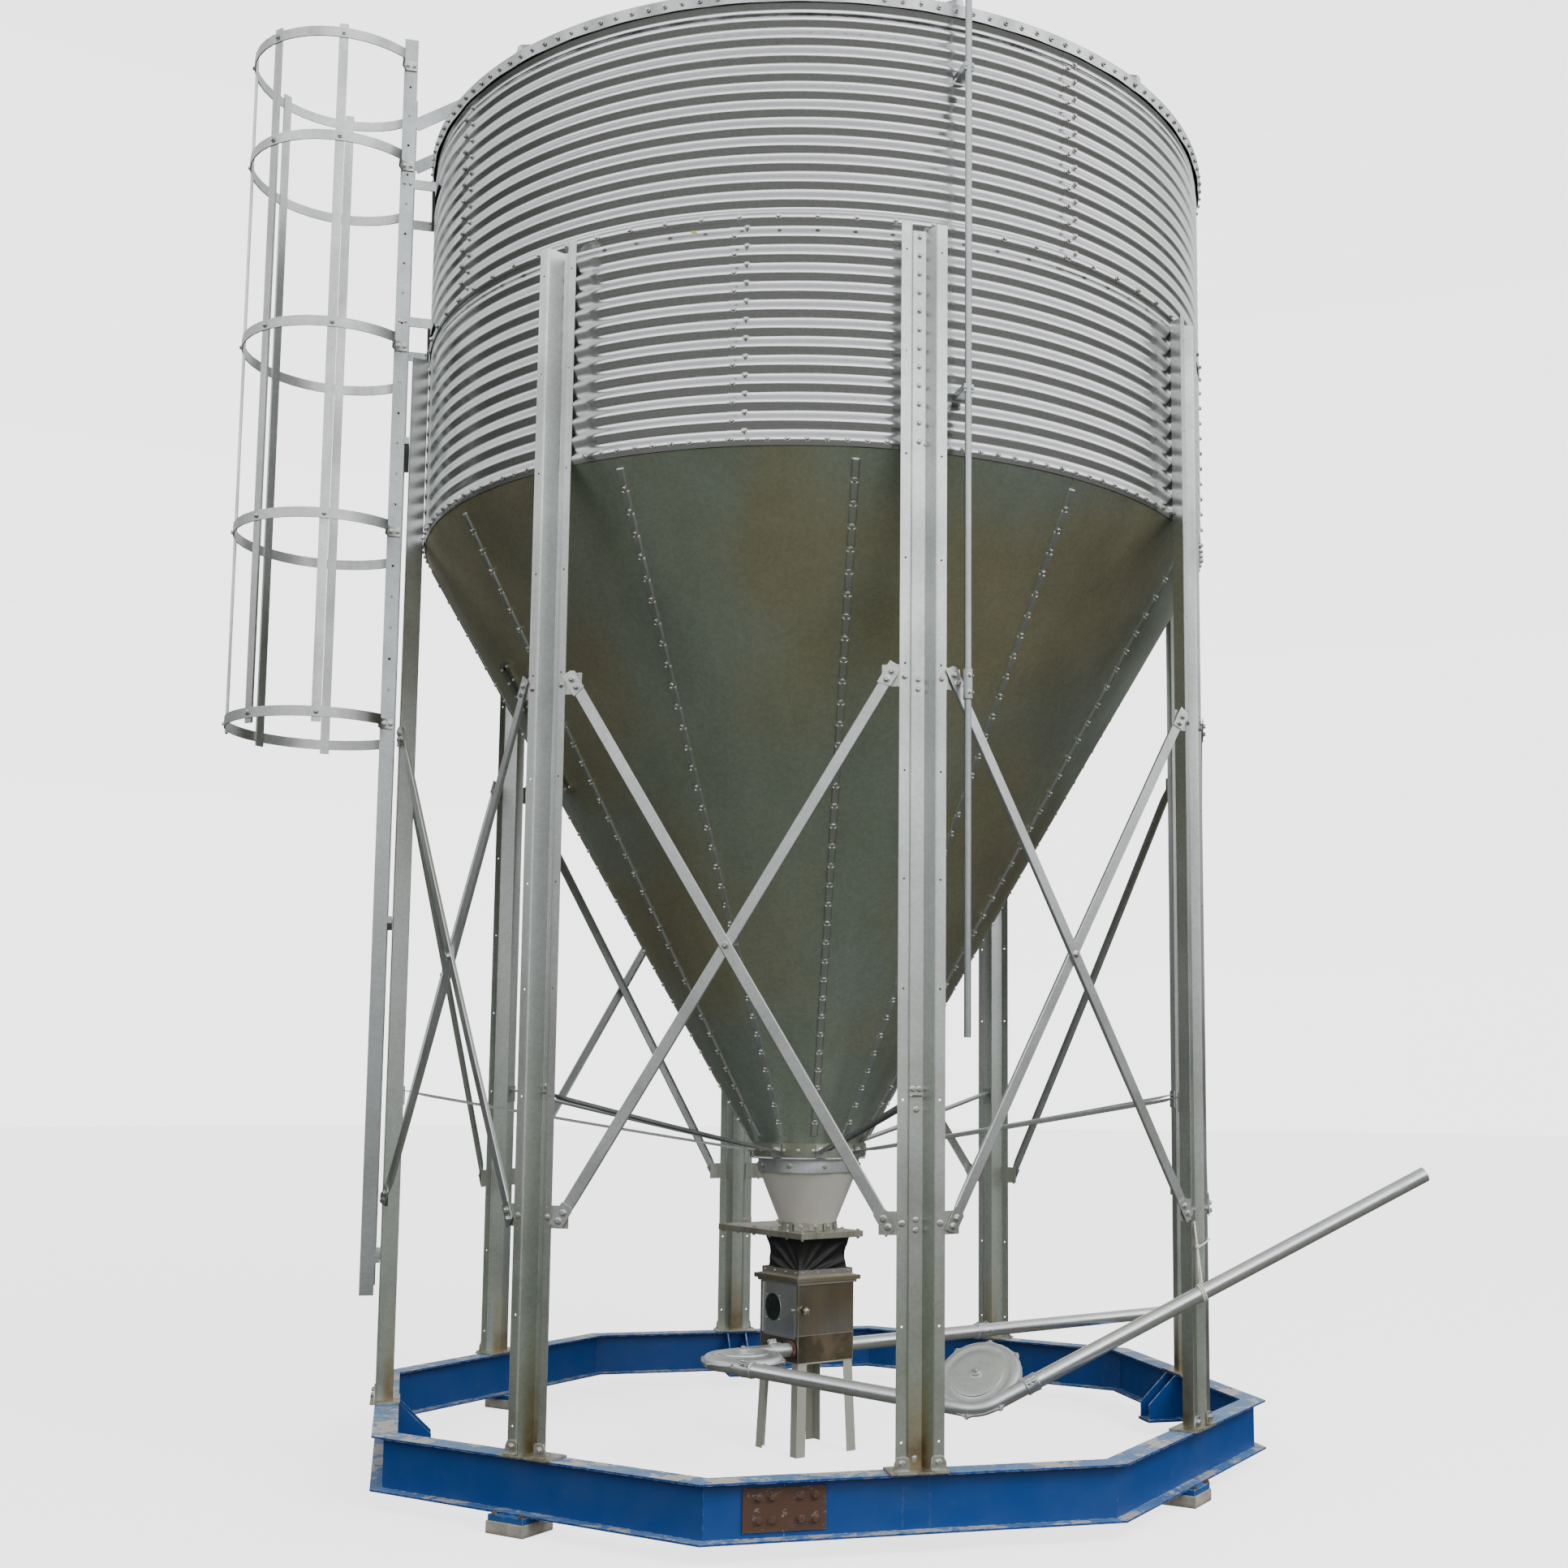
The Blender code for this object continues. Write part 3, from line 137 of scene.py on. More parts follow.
class Shape:
    """Closed bits of mesh that are gathered into one piece."""

    def __init__(self):
        self.verts = []
        self.faces = []

    def add(self, verts, faces, place=None):
        first = len(self.verts)
        if place is not None:
            verts = [place @ Vector(v) for v in verts]
        self.verts += [Vector(v) for v in verts]
        self.faces += [tuple(first + i for i in face) for face in faces]
        return self

    def join(self, other, place=None):
        return self.add(other.verts, other.faces, place)

    def copied(self, place):
        return Shape().join(self, place)

    def loft(self, rings, place=None, loop=False):
        """Skin a list of rings of points. Without loop its two ends are capped."""
        n, m = len(rings[0]), len(rings)
        faces = []
        for i in range(m if loop else m - 1):
            a, b = i * n, (i + 1) % m * n
            faces += [(a + j, a + (j + 1) % n, b + (j + 1) % n, b + j) for j in range(n)]
        if not loop:
            faces += [tuple(range(n)), tuple(range((m - 1) * n, m * n))]
        return self.add([p for ring in rings for p in ring], faces, place)

    def block(self, x0, x1, y0, y1, z0, z1, place=None):
        return self.raised([(x0, y0), (x1, y0), (x1, y1), (x0, y1)], z0, z1, place)

    def raised(self, outline, z0, z1, place=None):
        return self.loft([[(x, y, z) for x, y in outline] for z in (z0, z1)], place)

    def lathe(self, origin, way, stations, sides=16, spin=0.0):
        """A body turned about a way, through stations of (distance, radius)."""
        axes = aimed(origin, way)
        return self.loft([[axes @ round_at(turn, radius, reach) for turn in turns(sides, spin)]
                          for reach, radius in stations])

    def spun(self, profile, start=0.0, steps=48):
        """A closed profile of (radius, z) spun about the silo's axis."""
        return self.loft([[at(start + 360.0 * k / steps, r, z) for r, z in profile]
                          for k in range(steps)], loop=True)

    def tube(self, points, radii, sides=12):
        """A round bar along points, with one radius or one for each point."""
        points = [Vector(p) for p in points]
        if not isinstance(radii, list):
            radii = [radii] * len(points)
        side = None
        rings = []
        for k, (point, r) in enumerate(zip(points, radii)):
            way = points[min(k + 1, len(points) - 1)] - points[max(k - 1, 0)]
            way.normalize()
            if side is None:
                side = way.orthogonal().normalized()
            side = (side - way * side.dot(way)).normalized()
            other = way.cross(side)
            rings.append([point + side * r * cos(turn) + other * r * sin(turn)
                          for turn in turns(sides)])
        return self.loft(rings)

    def skin(self, surface, thickness, nu, nv):
        """A closed sheet. surface(u, v, inside) is its outer face moved inwards by inside."""
        verts = [surface(i / nu, j / nv, inside) for inside in (0.0, thickness)
                 for i in range(nu + 1) for j in range(nv + 1)]
        row, back = nv + 1, len(verts) // 2
        faces = []
        for i, j in product(range(nu), range(nv)):
            a = i * row + j
            b = back + a
            faces += [(a, a + 1, a + row + 1, a + row), (b, b + row, b + row + 1, b + 1)]
        faces += [(a, a + row, back + a + row, back + a)
                  for i in range(nu) for a in (i * row, i * row + nv)]
        faces += [(a, a + 1, back + a + 1, back + a)
                  for j in range(nv) for a in (j, nu * row + j)]
        return self.add(verts, faces)

    def bolt(self, point, way, size=0.008, washer=1.5, sides=6):
        """Bolt head on its washer."""
        self.lathe(point, way, [(0.0, washer * size), (0.16 * size, washer * size),
                                (0.26 * size, 1.18 * size)], 12)
        spin = dice.uniform(0.0, pi)
        return self.lathe(point, way, [(0.0, size), (0.85 * size, size),
                                       (1.12 * size, 0.74 * size)], sides, spin)

    def grid_of_bolts(self, xs, ys, zs, way, *head):
        for x, y, z in product(xs, ys, zs):
            self.bolt((x, y, z), way, *head)

    def wall_bolt(self, degrees, radius, z, size):
        """Bolt that looks away from the silo's axis."""
        return self.bolt(at(degrees, radius, z), at(degrees, 1.0), size)

    def ring_of_bolts(self, count, first, radius, z, size):
        for k in range(count):
            self.wall_bolt(360.0 * (k + first) / count, radius, z, size)


def rounded(path, radius):
    """A plan path with its inner corners rounded."""
    path = [Vector(p) for p in path]
    result = [path[0]]
    for before, corner, after in zip(path, path[1:], path[2:]):
        u = (before - corner).normalized()
        v = (after - corner).normalized()
        back = radius / tan(u.angle(v) / 2)
        result += [soft_corner(corner + u * back, corner, corner + v * back, k / 3)
                   for k in range(4)]
    result.append(path[-1])
    return [(p.x, p.y) for p in result]


def sheet_outline(path, thickness):
    """Closed outline of a folded sheet that has its thickness on the right of a plan path."""
    path = [Vector(p) for p in path]
    far = []
    for k, point in enumerate(path):
        ways = []
        if k > 0:
            ways.append((point - path[k - 1]).normalized())
        if k < len(path) - 1:
            ways.append((path[k + 1] - point).normalized())
        sides = [Vector((w.y, -w.x)) for w in ways]
        middle = sum(sides, Vector((0.0, 0.0))).normalized()
        far.append(point + middle * thickness / middle.dot(sides[0]))
    return [(p.x, p.y) for p in path + far[::-1]]


def tidy_mesh(mesh, flatten=False):
    bm = bmesh.new()
    bm.from_mesh(mesh)
    if flatten:
        bmesh.ops.remove_doubles(bm, verts=bm.verts, dist=0.00002)
        bmesh.ops.dissolve_limit(bm, angle_limit=radians(0.5), verts=bm.verts, edges=bm.edges)
    bmesh.ops.recalc_face_normals(bm, faces=bm.faces)
    bm.to_mesh(mesh)
    bm.free()


def mesh_of(shape, name, move):
    mesh = bpy.data.meshes.new(name)
    mesh.from_pydata([v + move for v in shape.verts], [], shape.faces)
    tidy_mesh(mesh)
    return mesh


def shape_of_mesh(mesh, move):
    return Shape().add([v.co - move for v in mesh.vertices],
                       [tuple(p.vertices) for p in mesh.polygons])


def emit(shape, name, look, slot, replaces=(), body="silo", smooth=35.0, bevel=0.0):
    """Make a piece of a shape or mesh, in the row frame, and let it ride on its body."""
    mesh = mesh_of(shape, name, AXIS) if isinstance(shape, Shape) else shape
    mesh.name = name
    mesh.materials.clear()
    mesh.materials.append(looks[look])
    mesh.shade_smooth()
    mesh.set_sharp_from_angle(angle=radians(smooth))
    obj = bpy.data.objects.new(name, mesh)
    bpy.context.scene.collection.objects.link(obj)
    if bevel:
        edges = obj.modifiers.new("edges", "BEVEL")
        edges.width = bevel
        edges.segments = 2
        edges.limit_method = "ANGLE"
        edges.angle_limit = radians(40.0)
        edges.harden_normals = True
    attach(obj, body)
    if replaces:
        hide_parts(*replaces)
    return obj


def from_node(node):
    """A clean copy of a CAD node's mesh."""
    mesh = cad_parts[node].data.copy()
    tidy_mesh(mesh, flatten=True)
    return mesh


def kept(node, name, look, slot, **settings):
    """A piece that keeps the shape of the CAD node it replaces."""
    return emit(from_node(node), name, look, slot, [node], **settings)


def carved(shape, cutters):
    """A shape with the volume of some closed cutters taken away."""
    origin = Vector((0.0, 0.0, 0.0))
    objects = [bpy.data.objects.new("operand", mesh_of(piece, "operand", origin))
               for piece in [shape] + cutters]
    group = bpy.data.collections.new("holes")
    bpy.context.scene.collection.objects.link(objects[0])
    bpy.context.scene.collection.children.link(group)
    for obj in objects[1:]:
        group.objects.link(obj)
    boolean = objects[0].modifiers.new("holes", "BOOLEAN")
    boolean.operation = "DIFFERENCE"
    boolean.operand_type = "COLLECTION"
    boolean.collection = group
    boolean.solver = "EXACT"
    graph = bpy.context.evaluated_depsgraph_get()
    mesh = bpy.data.meshes.new_from_object(objects[0].evaluated_get(graph))
    result = shape_of_mesh(mesh, origin)
    for obj in objects:
        bpy.data.objects.remove(obj, do_unlink=True)
    bpy.data.collections.remove(group)
    bpy.data.meshes.remove(mesh)
    return result


# Materials

class Nodes:
    """Adds chained shader nodes to a tree."""

    def __init__(self, tree):
        self.tree = tree

    def node(self, kind, options=(), **inputs):
        item = self.tree.nodes.new("ShaderNode" + kind)
        for key, value in dict(options).items():
            setattr(item, key, value)
        for key, value in inputs.items():
            self.feed(item.inputs[key.replace("_", " ")], value)
        return item

    def feed(self, socket, value):
        if isinstance(value, bpy.types.NodeSocket):
            self.tree.links.new(value, socket)
        elif isinstance(value, tuple) and len(value) == 3 and socket.type == "RGBA":
            socket.default_value = (*value, 1.0)
        else:
            socket.default_value = value

    def span(self, value, low, high, out_low=0.0, out_high=1.0):
        return self.node("MapRange", {"interpolation_type": "SMOOTHSTEP"}, Value=value,
                         From_Min=low, From_Max=high, To_Min=out_low,
                         To_Max=out_high).outputs["Result"]

    def mix(self, factor, a, b, blend="MIX"):
        item = self.node("Mix", {"data_type": "RGBA", "blend_type": blend})
        for k, value in ((0, factor), (6, a), (7, b)):
            self.feed(item.inputs[k], value)
        return item.outputs[2]

    def tinted(self, colour, tint):
        return self.mix(1.0, colour, tint, "MULTIPLY")

    def ramp(self, source, low, high, stops):
        """Colour stops along source, each a colour or one grey level."""
        spread = self.node("MapRange", Value=source, From_Min=low, From_Max=high)
        item = self.node("ValToRGB", Fac=spread.outputs["Result"])
        for k, (place, level) in enumerate(stops):
            stop = item.color_ramp.elements[k] if k < 2 else item.color_ramp.elements.new(place)
            stop.position = place
            stop.color = (*level, 1.0) if isinstance(level, tuple) else (level,) * 3 + (1.0,)
        return item.outputs["Color"]


class Look(Nodes):
    """Builds one procedural material."""

    def __init__(self, name, colour, rough, metal=0.0, **settings):
        self.material = bpy.data.materials.new(name)
        self.material.use_nodes = True
        super().__init__(self.material.node_tree)
        self.shader = self.tree.nodes["Principled BSDF"]
        self.set(Base_Color=colour, Roughness=rough, Metallic=metal, **settings)
        self.place = self.node("TexCoord").outputs["Object"]

    def set(self, **settings):
        for key, value in settings.items():
            self.feed(self.shader.inputs[key.replace("_", " ")], value)

    def noise(self, scale, detail=3.0, rough=0.55, stretch=None):
        where = self.place
        if stretch:
            where = self.node("Mapping", Vector=self.place, Scale=stretch).outputs["Vector"]
        return self.node("TexNoise", Vector=where, Scale=scale, Detail=detail,
                         Roughness=rough).outputs["Fac"]

    def patches(self, noise_settings, low, high, out_low=0.0, out_high=1.0):
        return self.span(self.noise(*noise_settings), low, high, out_low, out_high)

    def cells(self, scale, output):
        return self.node("TexVoronoi", Vector=self.place, Scale=scale).outputs[output]

    def math(self, operation, a, b):
        item = self.node("Math", {"operation": operation})
        self.feed(item.inputs[0], a)
        self.feed(item.inputs[1], b)
        return item.outputs["Value"]

    def times(self, a, b):
        return self.math("MULTIPLY", a, b)

    def plus(self, a, b):
        return self.math("ADD", a, b)

    def vector(self, operation, a, b=(0.0, 0.0, 0.0)):
        item = self.node("VectorMath", {"operation": operation})
        self.feed(item.inputs[0], a)
        self.feed(item.inputs[1], b)
        return item.outputs

    def height(self):
        return self.node("SeparateXYZ", Vector=self.place).outputs["Z"]

    def facing_up(self):
        normal = self.node("NewGeometry").outputs["Normal"]
        return self.span(self.node("SeparateXYZ", Vector=normal).outputs["Z"], 0.5, 0.85)

    def from_axis(self):
        """Distance from the silo's axis."""
        moved = self.vector("SUBTRACT", self.place, (AXIS.x, AXIS.y, 0.0))["Vector"]
        parts = self.node("SeparateXYZ", Vector=moved).outputs
        flat = self.node("CombineXYZ", X=parts["X"], Y=parts["Y"]).outputs["Vector"]
        return self.vector("LENGTH", flat)["Value"]

    def bump(self, value, distance, strength):
        item = self.node("Bump", Height=value, Distance=distance, Strength=strength)
        self.set(Normal=item.outputs["Normal"])

    def worn_edges(self):
        """Close to 1 along sharp edges, from the turn of a rounded normal."""
        soft = self.node("Bevel", {"samples": 4}, Radius=0.004).outputs["Normal"]
        hard = self.node("NewGeometry").outputs["Normal"]
        return self.span(self.vector("DOT_PRODUCT", soft, hard)["Value"], 0.995, 0.86)


def zinc(name, colour, rough, streak=0.10, tint=(0.80, 0.86, 0.80), spangle=0.05, wave=0.0004,
         patch=None, extra=None):
    """Galvanised sheet: spangle, faint rain streaks, cloudy roughness and a slightly wavy skin.

    patch is a second colour in broad areas; extra changes the base colour before it is used.
    """
    look = Look(name, colour, rough, 1.0)
    crystals = look.node("SeparateColor", Color=look.cells(85.0, "Color")).outputs["Red"]
    grain = look.span(crystals, 0.0, 1.0, 1.0 - spangle, 1.0 + spangle)
    clouds = look.noise(2.2, 4.0, 0.6)
    dull = look.patches((7.0, 4.0, 0.6, (1.0, 1.0, 0.06)), 0.45, 0.75)
    main = colour
    if patch:
        main = look.mix(look.patches((0.9, 2.0, 0.5), 0.42, 0.60), colour, patch)
    dim = look.tinted(main, tuple(t * 0.86 for t in tint))
    base = look.mix(look.times(dull, streak * 4), main, dim)
    pale = look.tinted(base, (0.88, 0.88, 0.88))
    base = look.mix(look.span(clouds, 0.35, 0.7, 0.0, 0.5), base, pale)
    grey = look.node("CombineColor", Red=grain, Green=grain, Blue=grain).outputs["Color"]
    base = look.tinted(base, grey)
    if extra:
        base = extra(look, base)
    smear = look.span(clouds, 0.3, 0.7, rough * 0.85, rough * 1.2)
    look.set(Base_Color=base, Roughness=look.plus(smear, look.times(dull, 0.08)))
    tall = look.plus(look.times(look.noise(160.0, 2.0), 0.02), look.noise(3.0, 2.0))
    look.bump(tall, wave * 10.0, 0.5)
    return look.material


def leg_dirt(look, base):
    """Painted shade as an olive darkening of the legs below the tie bars, and a brown stain low in
    the hollow of the hat section.
    """
    # Painted shade: the leg turns darker and more olive from 2.4 m down towards the ground
    painted_low_shade = look.span(look.height(), 2.4, 0.5, 0.0, 0.75)
    base = look.mix(painted_low_shade, base, look.tinted(base, (0.76, 0.81, 0.70)))
    hollow = look.span(look.from_axis(), 1.888, 1.850)
    ragged = look.plus(look.height(), look.times(look.noise(16.0, 4.0), 0.30))
    stain = look.times(look.times(hollow, look.span(ragged, 0.90, 0.46)), 0.75)
    base = look.mix(stain, base, (0.52, 0.45, 0.27))
    brown = look.times(hollow, look.span(ragged, 0.60, 0.41, 0.0, 0.65))
    return look.mix(brown, base, (0.27, 0.175, 0.085))


def foot_dirt(look, base):
    """Caked dust on the foot plates and cleats."""
    low = look.span(look.height(), 0.350, 0.286)
    caked = look.patches((26.0, 5.0, 0.7), 0.42, 0.58)
    return look.mix(look.times(look.times(low, caked), 0.8), base, (0.34, 0.29, 0.20))


def box_stains(look, base):
    """Beige steel above the crease of the intake box, darker and browner below it."""
    low = look.span(look.height(), 0.532, 0.524)
    warm = look.patches((3.2, 3.0, 0.5), 0.40, 0.60)
    base = look.mix(look.times(warm, 0.7), base, (0.42, 0.33, 0.19))
    brown = look.mix(look.patches((5.0, 3.0), 0.42, 0.56), (0.44, 0.33, 0.21), (0.20, 0.17, 0.10))
    return look.mix(look.times(low, 0.85), base, brown)


def painted(name, colour, rough, chip_colour, chips=0.62, rust=None, edge=0.7, dirt=0.25,
            top=None, fade=0.30):
    """Brushed paint over steel: dull patches, dust, chips that gather along the edges.

    top is the paler colour of faces that look up, partly worn paint and partly painted sky light;
    these faces are chipped most.
    """
    look = Look(name, colour, rough)
    clouds = look.noise(3.5, 5.0, 0.6)
    faded = tuple(min(c * 0.80 + 0.03, 1.0) for c in colour)
    base = look.mix(look.span(clouds, 0.4, 0.75, 0.0, fade), colour, faded)
    dust = look.patches((9.0, 6.0, 0.7), 0.55, 0.85, 0.0, dirt)
    base = look.mix(dust, base, (0.24, 0.25, 0.24))
    push = look.plus(look.noise(34.0, 6.0, 0.7), look.times(look.worn_edges(), edge * 0.35))
    # Painted light and wear: faces that look up are made paler in patches, as worn paint and as
    # the sky's light falling on them
    if top:
        up = look.facing_up()
        wear_and_sky_light = look.patches((5.0, 5.0, 0.65), 0.30, 0.62, 0.55, 1.0)
        base = look.mix(look.times(up, wear_and_sky_light), base, top)
        bare = look.patches((5.5, 5.0, 0.7), 0.44, 0.58, 0.0, 0.34)
        push = look.plus(push, look.times(up, bare))
    chip = look.span(push, chips, chips + 0.02)
    base = look.mix(chip, base, chip_colour)
    if rust:
        spots = look.patches((11.0, 6.0, 0.7), rust, rust + 0.08)
        base = look.mix(look.times(spots, 0.85), base, (0.16, 0.062, 0.025))
    look.set(Base_Color=base,
             Roughness=look.span(clouds, 0.3, 0.8, rough * 0.85, min(rough * 1.4, 1.0)))
    look.bump(look.math("SUBTRACT", look.times(look.noise(60.0, 3.0), 0.25), chip), 0.0006, 0.6)
    return look.material


def coated_fabric():
    """Black coated cloth with a faint weave, dusty on its folds."""
    black = (0.0055, 0.0060, 0.0048)
    look = Look("boot_cloth", black, 0.46)
    dust = look.patches((14.0, 5.0, 0.65), 0.52, 0.80, 0.0, 0.30)
    look.set(Base_Color=look.mix(dust, black, (0.050, 0.050, 0.040)),
             Roughness=look.patches((6.0, 3.0), 0.3, 0.7, 0.36, 0.58))
    weave = look.times(look.cells(900.0, "Distance"), 0.3)
    look.bump(look.plus(weave, look.noise(24.0, 4.0)), 0.0012, 0.5)
    return look.material


def dark_glass():
    """Dusty dark pane."""
    dark = (0.012, 0.018, 0.017)
    look = Look("window_pane", dark, 0.12)
    dust = look.patches((30.0, 5.0, 0.7), 0.45, 0.8, 0.0, 0.25)
    look.set(Base_Color=look.mix(dust, dark, (0.12, 0.12, 0.10)),
             Roughness=look.patches((12.0, 4.0), 0.3, 0.7, 0.10, 0.30))
    return look.material


def twine_fibre():
    """Pale sisal with the lay of its strands."""
    look = Look("twine_fibre", (0.90, 0.88, 0.80), 0.85)
    strands = look.noise(420.0, 3.0, 0.6, (1.0, 1.0, 0.35))
    look.set(Base_Color=look.mix(look.span(strands, 0.35, 0.7), (0.92, 0.90, 0.82),
                                 (0.66, 0.62, 0.50)))
    look.bump(strands, 0.0010, 0.8)
    return look.material


def concrete():
    """Weathered blocks under the ring, darker over their lowest 2 cm."""
    look = Look("pad_block", (0.40, 0.38, 0.32), 0.85)
    clouds = look.noise(14.0, 6.0, 0.7)
    base = look.mix(look.span(clouds, 0.35, 0.7), (0.43, 0.41, 0.35), (0.27, 0.25, 0.20))
    low = look.span(look.height(), 0.020, 0.0, 0.0, 0.6)
    look.set(Base_Color=look.mix(low, base, (0.16, 0.14, 0.10)))
    look.bump(look.plus(clouds, look.times(look.noise(120.0, 4.0), 0.3)), 0.004, 0.7)
    return look.material


looks = {
    "wall": zinc("corrugated_zinc", (0.84, 0.845, 0.85), 0.18, 0.06, spangle=0.03, wave=0.00025),
    "roof": zinc("roof_zinc", (0.76, 0.77, 0.78), 0.30),
    # Painted reflection and weathering: the hopper's zinc is darker and greener than the wall's
    # and has broad olive patches, which paint in the dark ground its downward faces reflect
    "hopper": zinc("hopper_zinc_painted_reflection", (0.53, 0.59, 0.50), 0.40, 0.12, (0.80, 0.88, 0.82), 0.05,
                   0.0010, patch=(0.58, 0.55, 0.385)),
    "leg": zinc("leg_zinc_painted_shade", (0.70, 0.72, 0.705), 0.38, 0.12, (0.82, 0.92, 0.86), extra=leg_dirt),
    "brace": zinc("brace_zinc", (0.66, 0.68, 0.67), 0.36, 0.14),
    "tie": zinc("tie_zinc", (0.50, 0.52, 0.51), 0.36, 0.16),
    "bolt": zinc("bolt_zinc", (0.66, 0.66, 0.63), 0.36, 0.20, spangle=0.12),
    "ladder": zinc("ladder_zinc", (0.45, 0.48, 0.475), 0.38, 0.10, (0.86, 0.93, 0.92)),
    "tube": zinc("tube_zinc", (0.92, 0.925, 0.93), 0.32, 0.07),
    "cast": zinc("cast_alloy", (0.76, 0.77, 0.78), 0.42, 0.10, spangle=0.03, wave=0.0012),
    "gate": zinc("gate_steel", (0.52, 0.50, 0.43), 0.45, 0.25, (0.86, 0.80, 0.66)),
    "box": zinc("box_steel", (0.46, 0.43, 0.355), 0.34, 0.18, (0.80, 0.72, 0.58), 0.02, 0.0010,
                extra=box_stains),
    "ledge": zinc("ledge_steel", (0.56, 0.54, 0.48), 0.36, 0.18, (0.86, 0.80, 0.70), 0.03),
    "rib": zinc("rib_zinc", (0.58, 0.61, 0.56), 0.34, 0.10, spangle=0.03),
    "plate": zinc("plate_zinc", (0.60, 0.61, 0.55), 0.42, 0.18, (0.86, 0.84, 0.74),
                  extra=foot_dirt),
    "collar": zinc("collar_zinc", (0.40, 0.41, 0.33), 0.40, 0.22, (0.80, 0.78, 0.66)),
    "band": zinc("band_zinc", (0.84, 0.85, 0.87), 0.32, 0.14, spangle=0.04, wave=0.0014),
    "cage": zinc("cage_zinc", (0.62, 0.63, 0.62), 0.38, 0.12),
    "door": zinc("door_steel", (0.60, 0.62, 0.58), 0.42, 0.14, (0.86, 0.88, 0.82), 0.02),
    # The top colours are paler paint for faces that look up: partly wear, partly painted sky light
    "base": painted("ring_paint", (0.0012, 0.053, 0.238), 0.42, (0.50, 0.48, 0.44),
                    chips=0.72, rust=0.76, dirt=0.12, top=(0.125, 0.255, 0.46)),
    "pad": painted("pad_paint", (0.006, 0.080, 0.29), 0.50, (0.40, 0.41, 0.40),
                   chips=0.68, rust=0.66, dirt=0.4, top=(0.03, 0.16, 0.40)),
    "rust": painted("rusty_steel", (0.085, 0.042, 0.026), 0.80, (0.20, 0.17, 0.16),
                    chips=0.60, edge=0.4),
    "pale": painted("pale_paint", (0.60, 0.575, 0.505), 0.42, (0.45, 0.42, 0.37),
                    chips=0.74, edge=0.4, dirt=0.12, fade=0.9),
    "stand": painted("stand_paint", (0.42, 0.42, 0.36), 0.50, (0.26, 0.23, 0.18),
                     chips=0.68, edge=0.6),
    "dot": painted("yellow_paint", (0.72, 0.66, 0.05), 0.45, (0.5, 0.46, 0.10)),
    "fabric": coated_fabric(), "glass": dark_glass(), "twine": twine_fibre(),
    "block": concrete(),
}


# Corrugated wall and roof

def wave_r(z):
    return WALL_MID + WAVE * cos(2 * pi * (z - CREST) / PITCH)


def wall_sheet(seam, low, high, over):
    """One quarter of a ring. Its left end laps over the sheet before it."""
    start, end = seam - 0.65, seam + 92.2

    def surface(u, v, inside):
        angle = start + (end - start) * u
        z = low + (high - low) * v
        lap = 0.0022 * (1 - ease((angle - start - 2.8) / 2.5))
        lift = over * (1 - ease((z - MIDDLE_CREST - 0.012) / 0.03)) + lap
        dent = 0.0007 * noise.noise((angle * 0.16, z * 5.0, seam))
        if z < low + 0.02:
            dent += 0.0018 * noise.noise((angle * 0.7, 3.0, seam))
        return at(angle, wave_r(z) + lift + dent - inside, z)

    return Shape().skin(surface, WALL_SHEET, 44, round((high - low) / PITCH * 12))


def walls():
    slot = "corrugated_sheet"
    for course, seam, low, high, over in (
            ("lower", LOWER_SEAM, LOWER_EDGE, MIDDLE_CREST + 0.016, 0.0),
            ("upper", UPPER_SEAM, MIDDLE_EDGE, EAVE_Z - 0.012, COURSE_LAP)):
        for k in range(4):
            nodes = ["wall_" + course + "_" + ("right", "left")[k]] if k < 2 else []
            emit(wall_sheet(seam + 90 * k, low, high, over),
                 "wall_sheet_" + course + "_" + str(k + 1), "wall", slot, nodes)
    bolts = Shape()
    for count, z, lift in ((151, CREST, 0.0), (76, MIDDLE_CREST, COURSE_LAP)):
        bolts.ring_of_bolts(count, 0.37, wave_r(z) + lift + 0.0002, z, 0.0082)
    for k in range(4):
        for seam, crest in ((LOWER_SEAM + 90 * k, CREST), (UPPER_SEAM + 90 * k, MIDDLE_CREST)):
            for row in range(12):
                for column, z in ((0.0, crest + row * PITCH), (1.45, crest + (row + 0.5) * PITCH)):
                    if z < EAVE_Z - 0.05:
                        bolts.wall_bolt(seam + column, wave_r(z) + 0.0024, z, 0.0084)
    bolts.ring_of_bolts(158, 0, EAVE_R - 0.0002, 5.878, 0.0075)
    emit(bolts, "wall_bolts", "bolt", slot)
    dot = Shape()
    for reach, z, size in ((0.0, 4.940, 0.0075), (0.30, 4.936, 0.0045), (-0.25, 4.944, 0.0040)):
        dot.lathe(at(-27.8 + reach, wave_r(z) - 0.0012, z), at(-27.8, 1.0),
                  [(0.0, size), (0.0018, size), (0.0028, size * 0.6)], 12)
    emit(dot, "wall_paint_dot", "dot", slot)


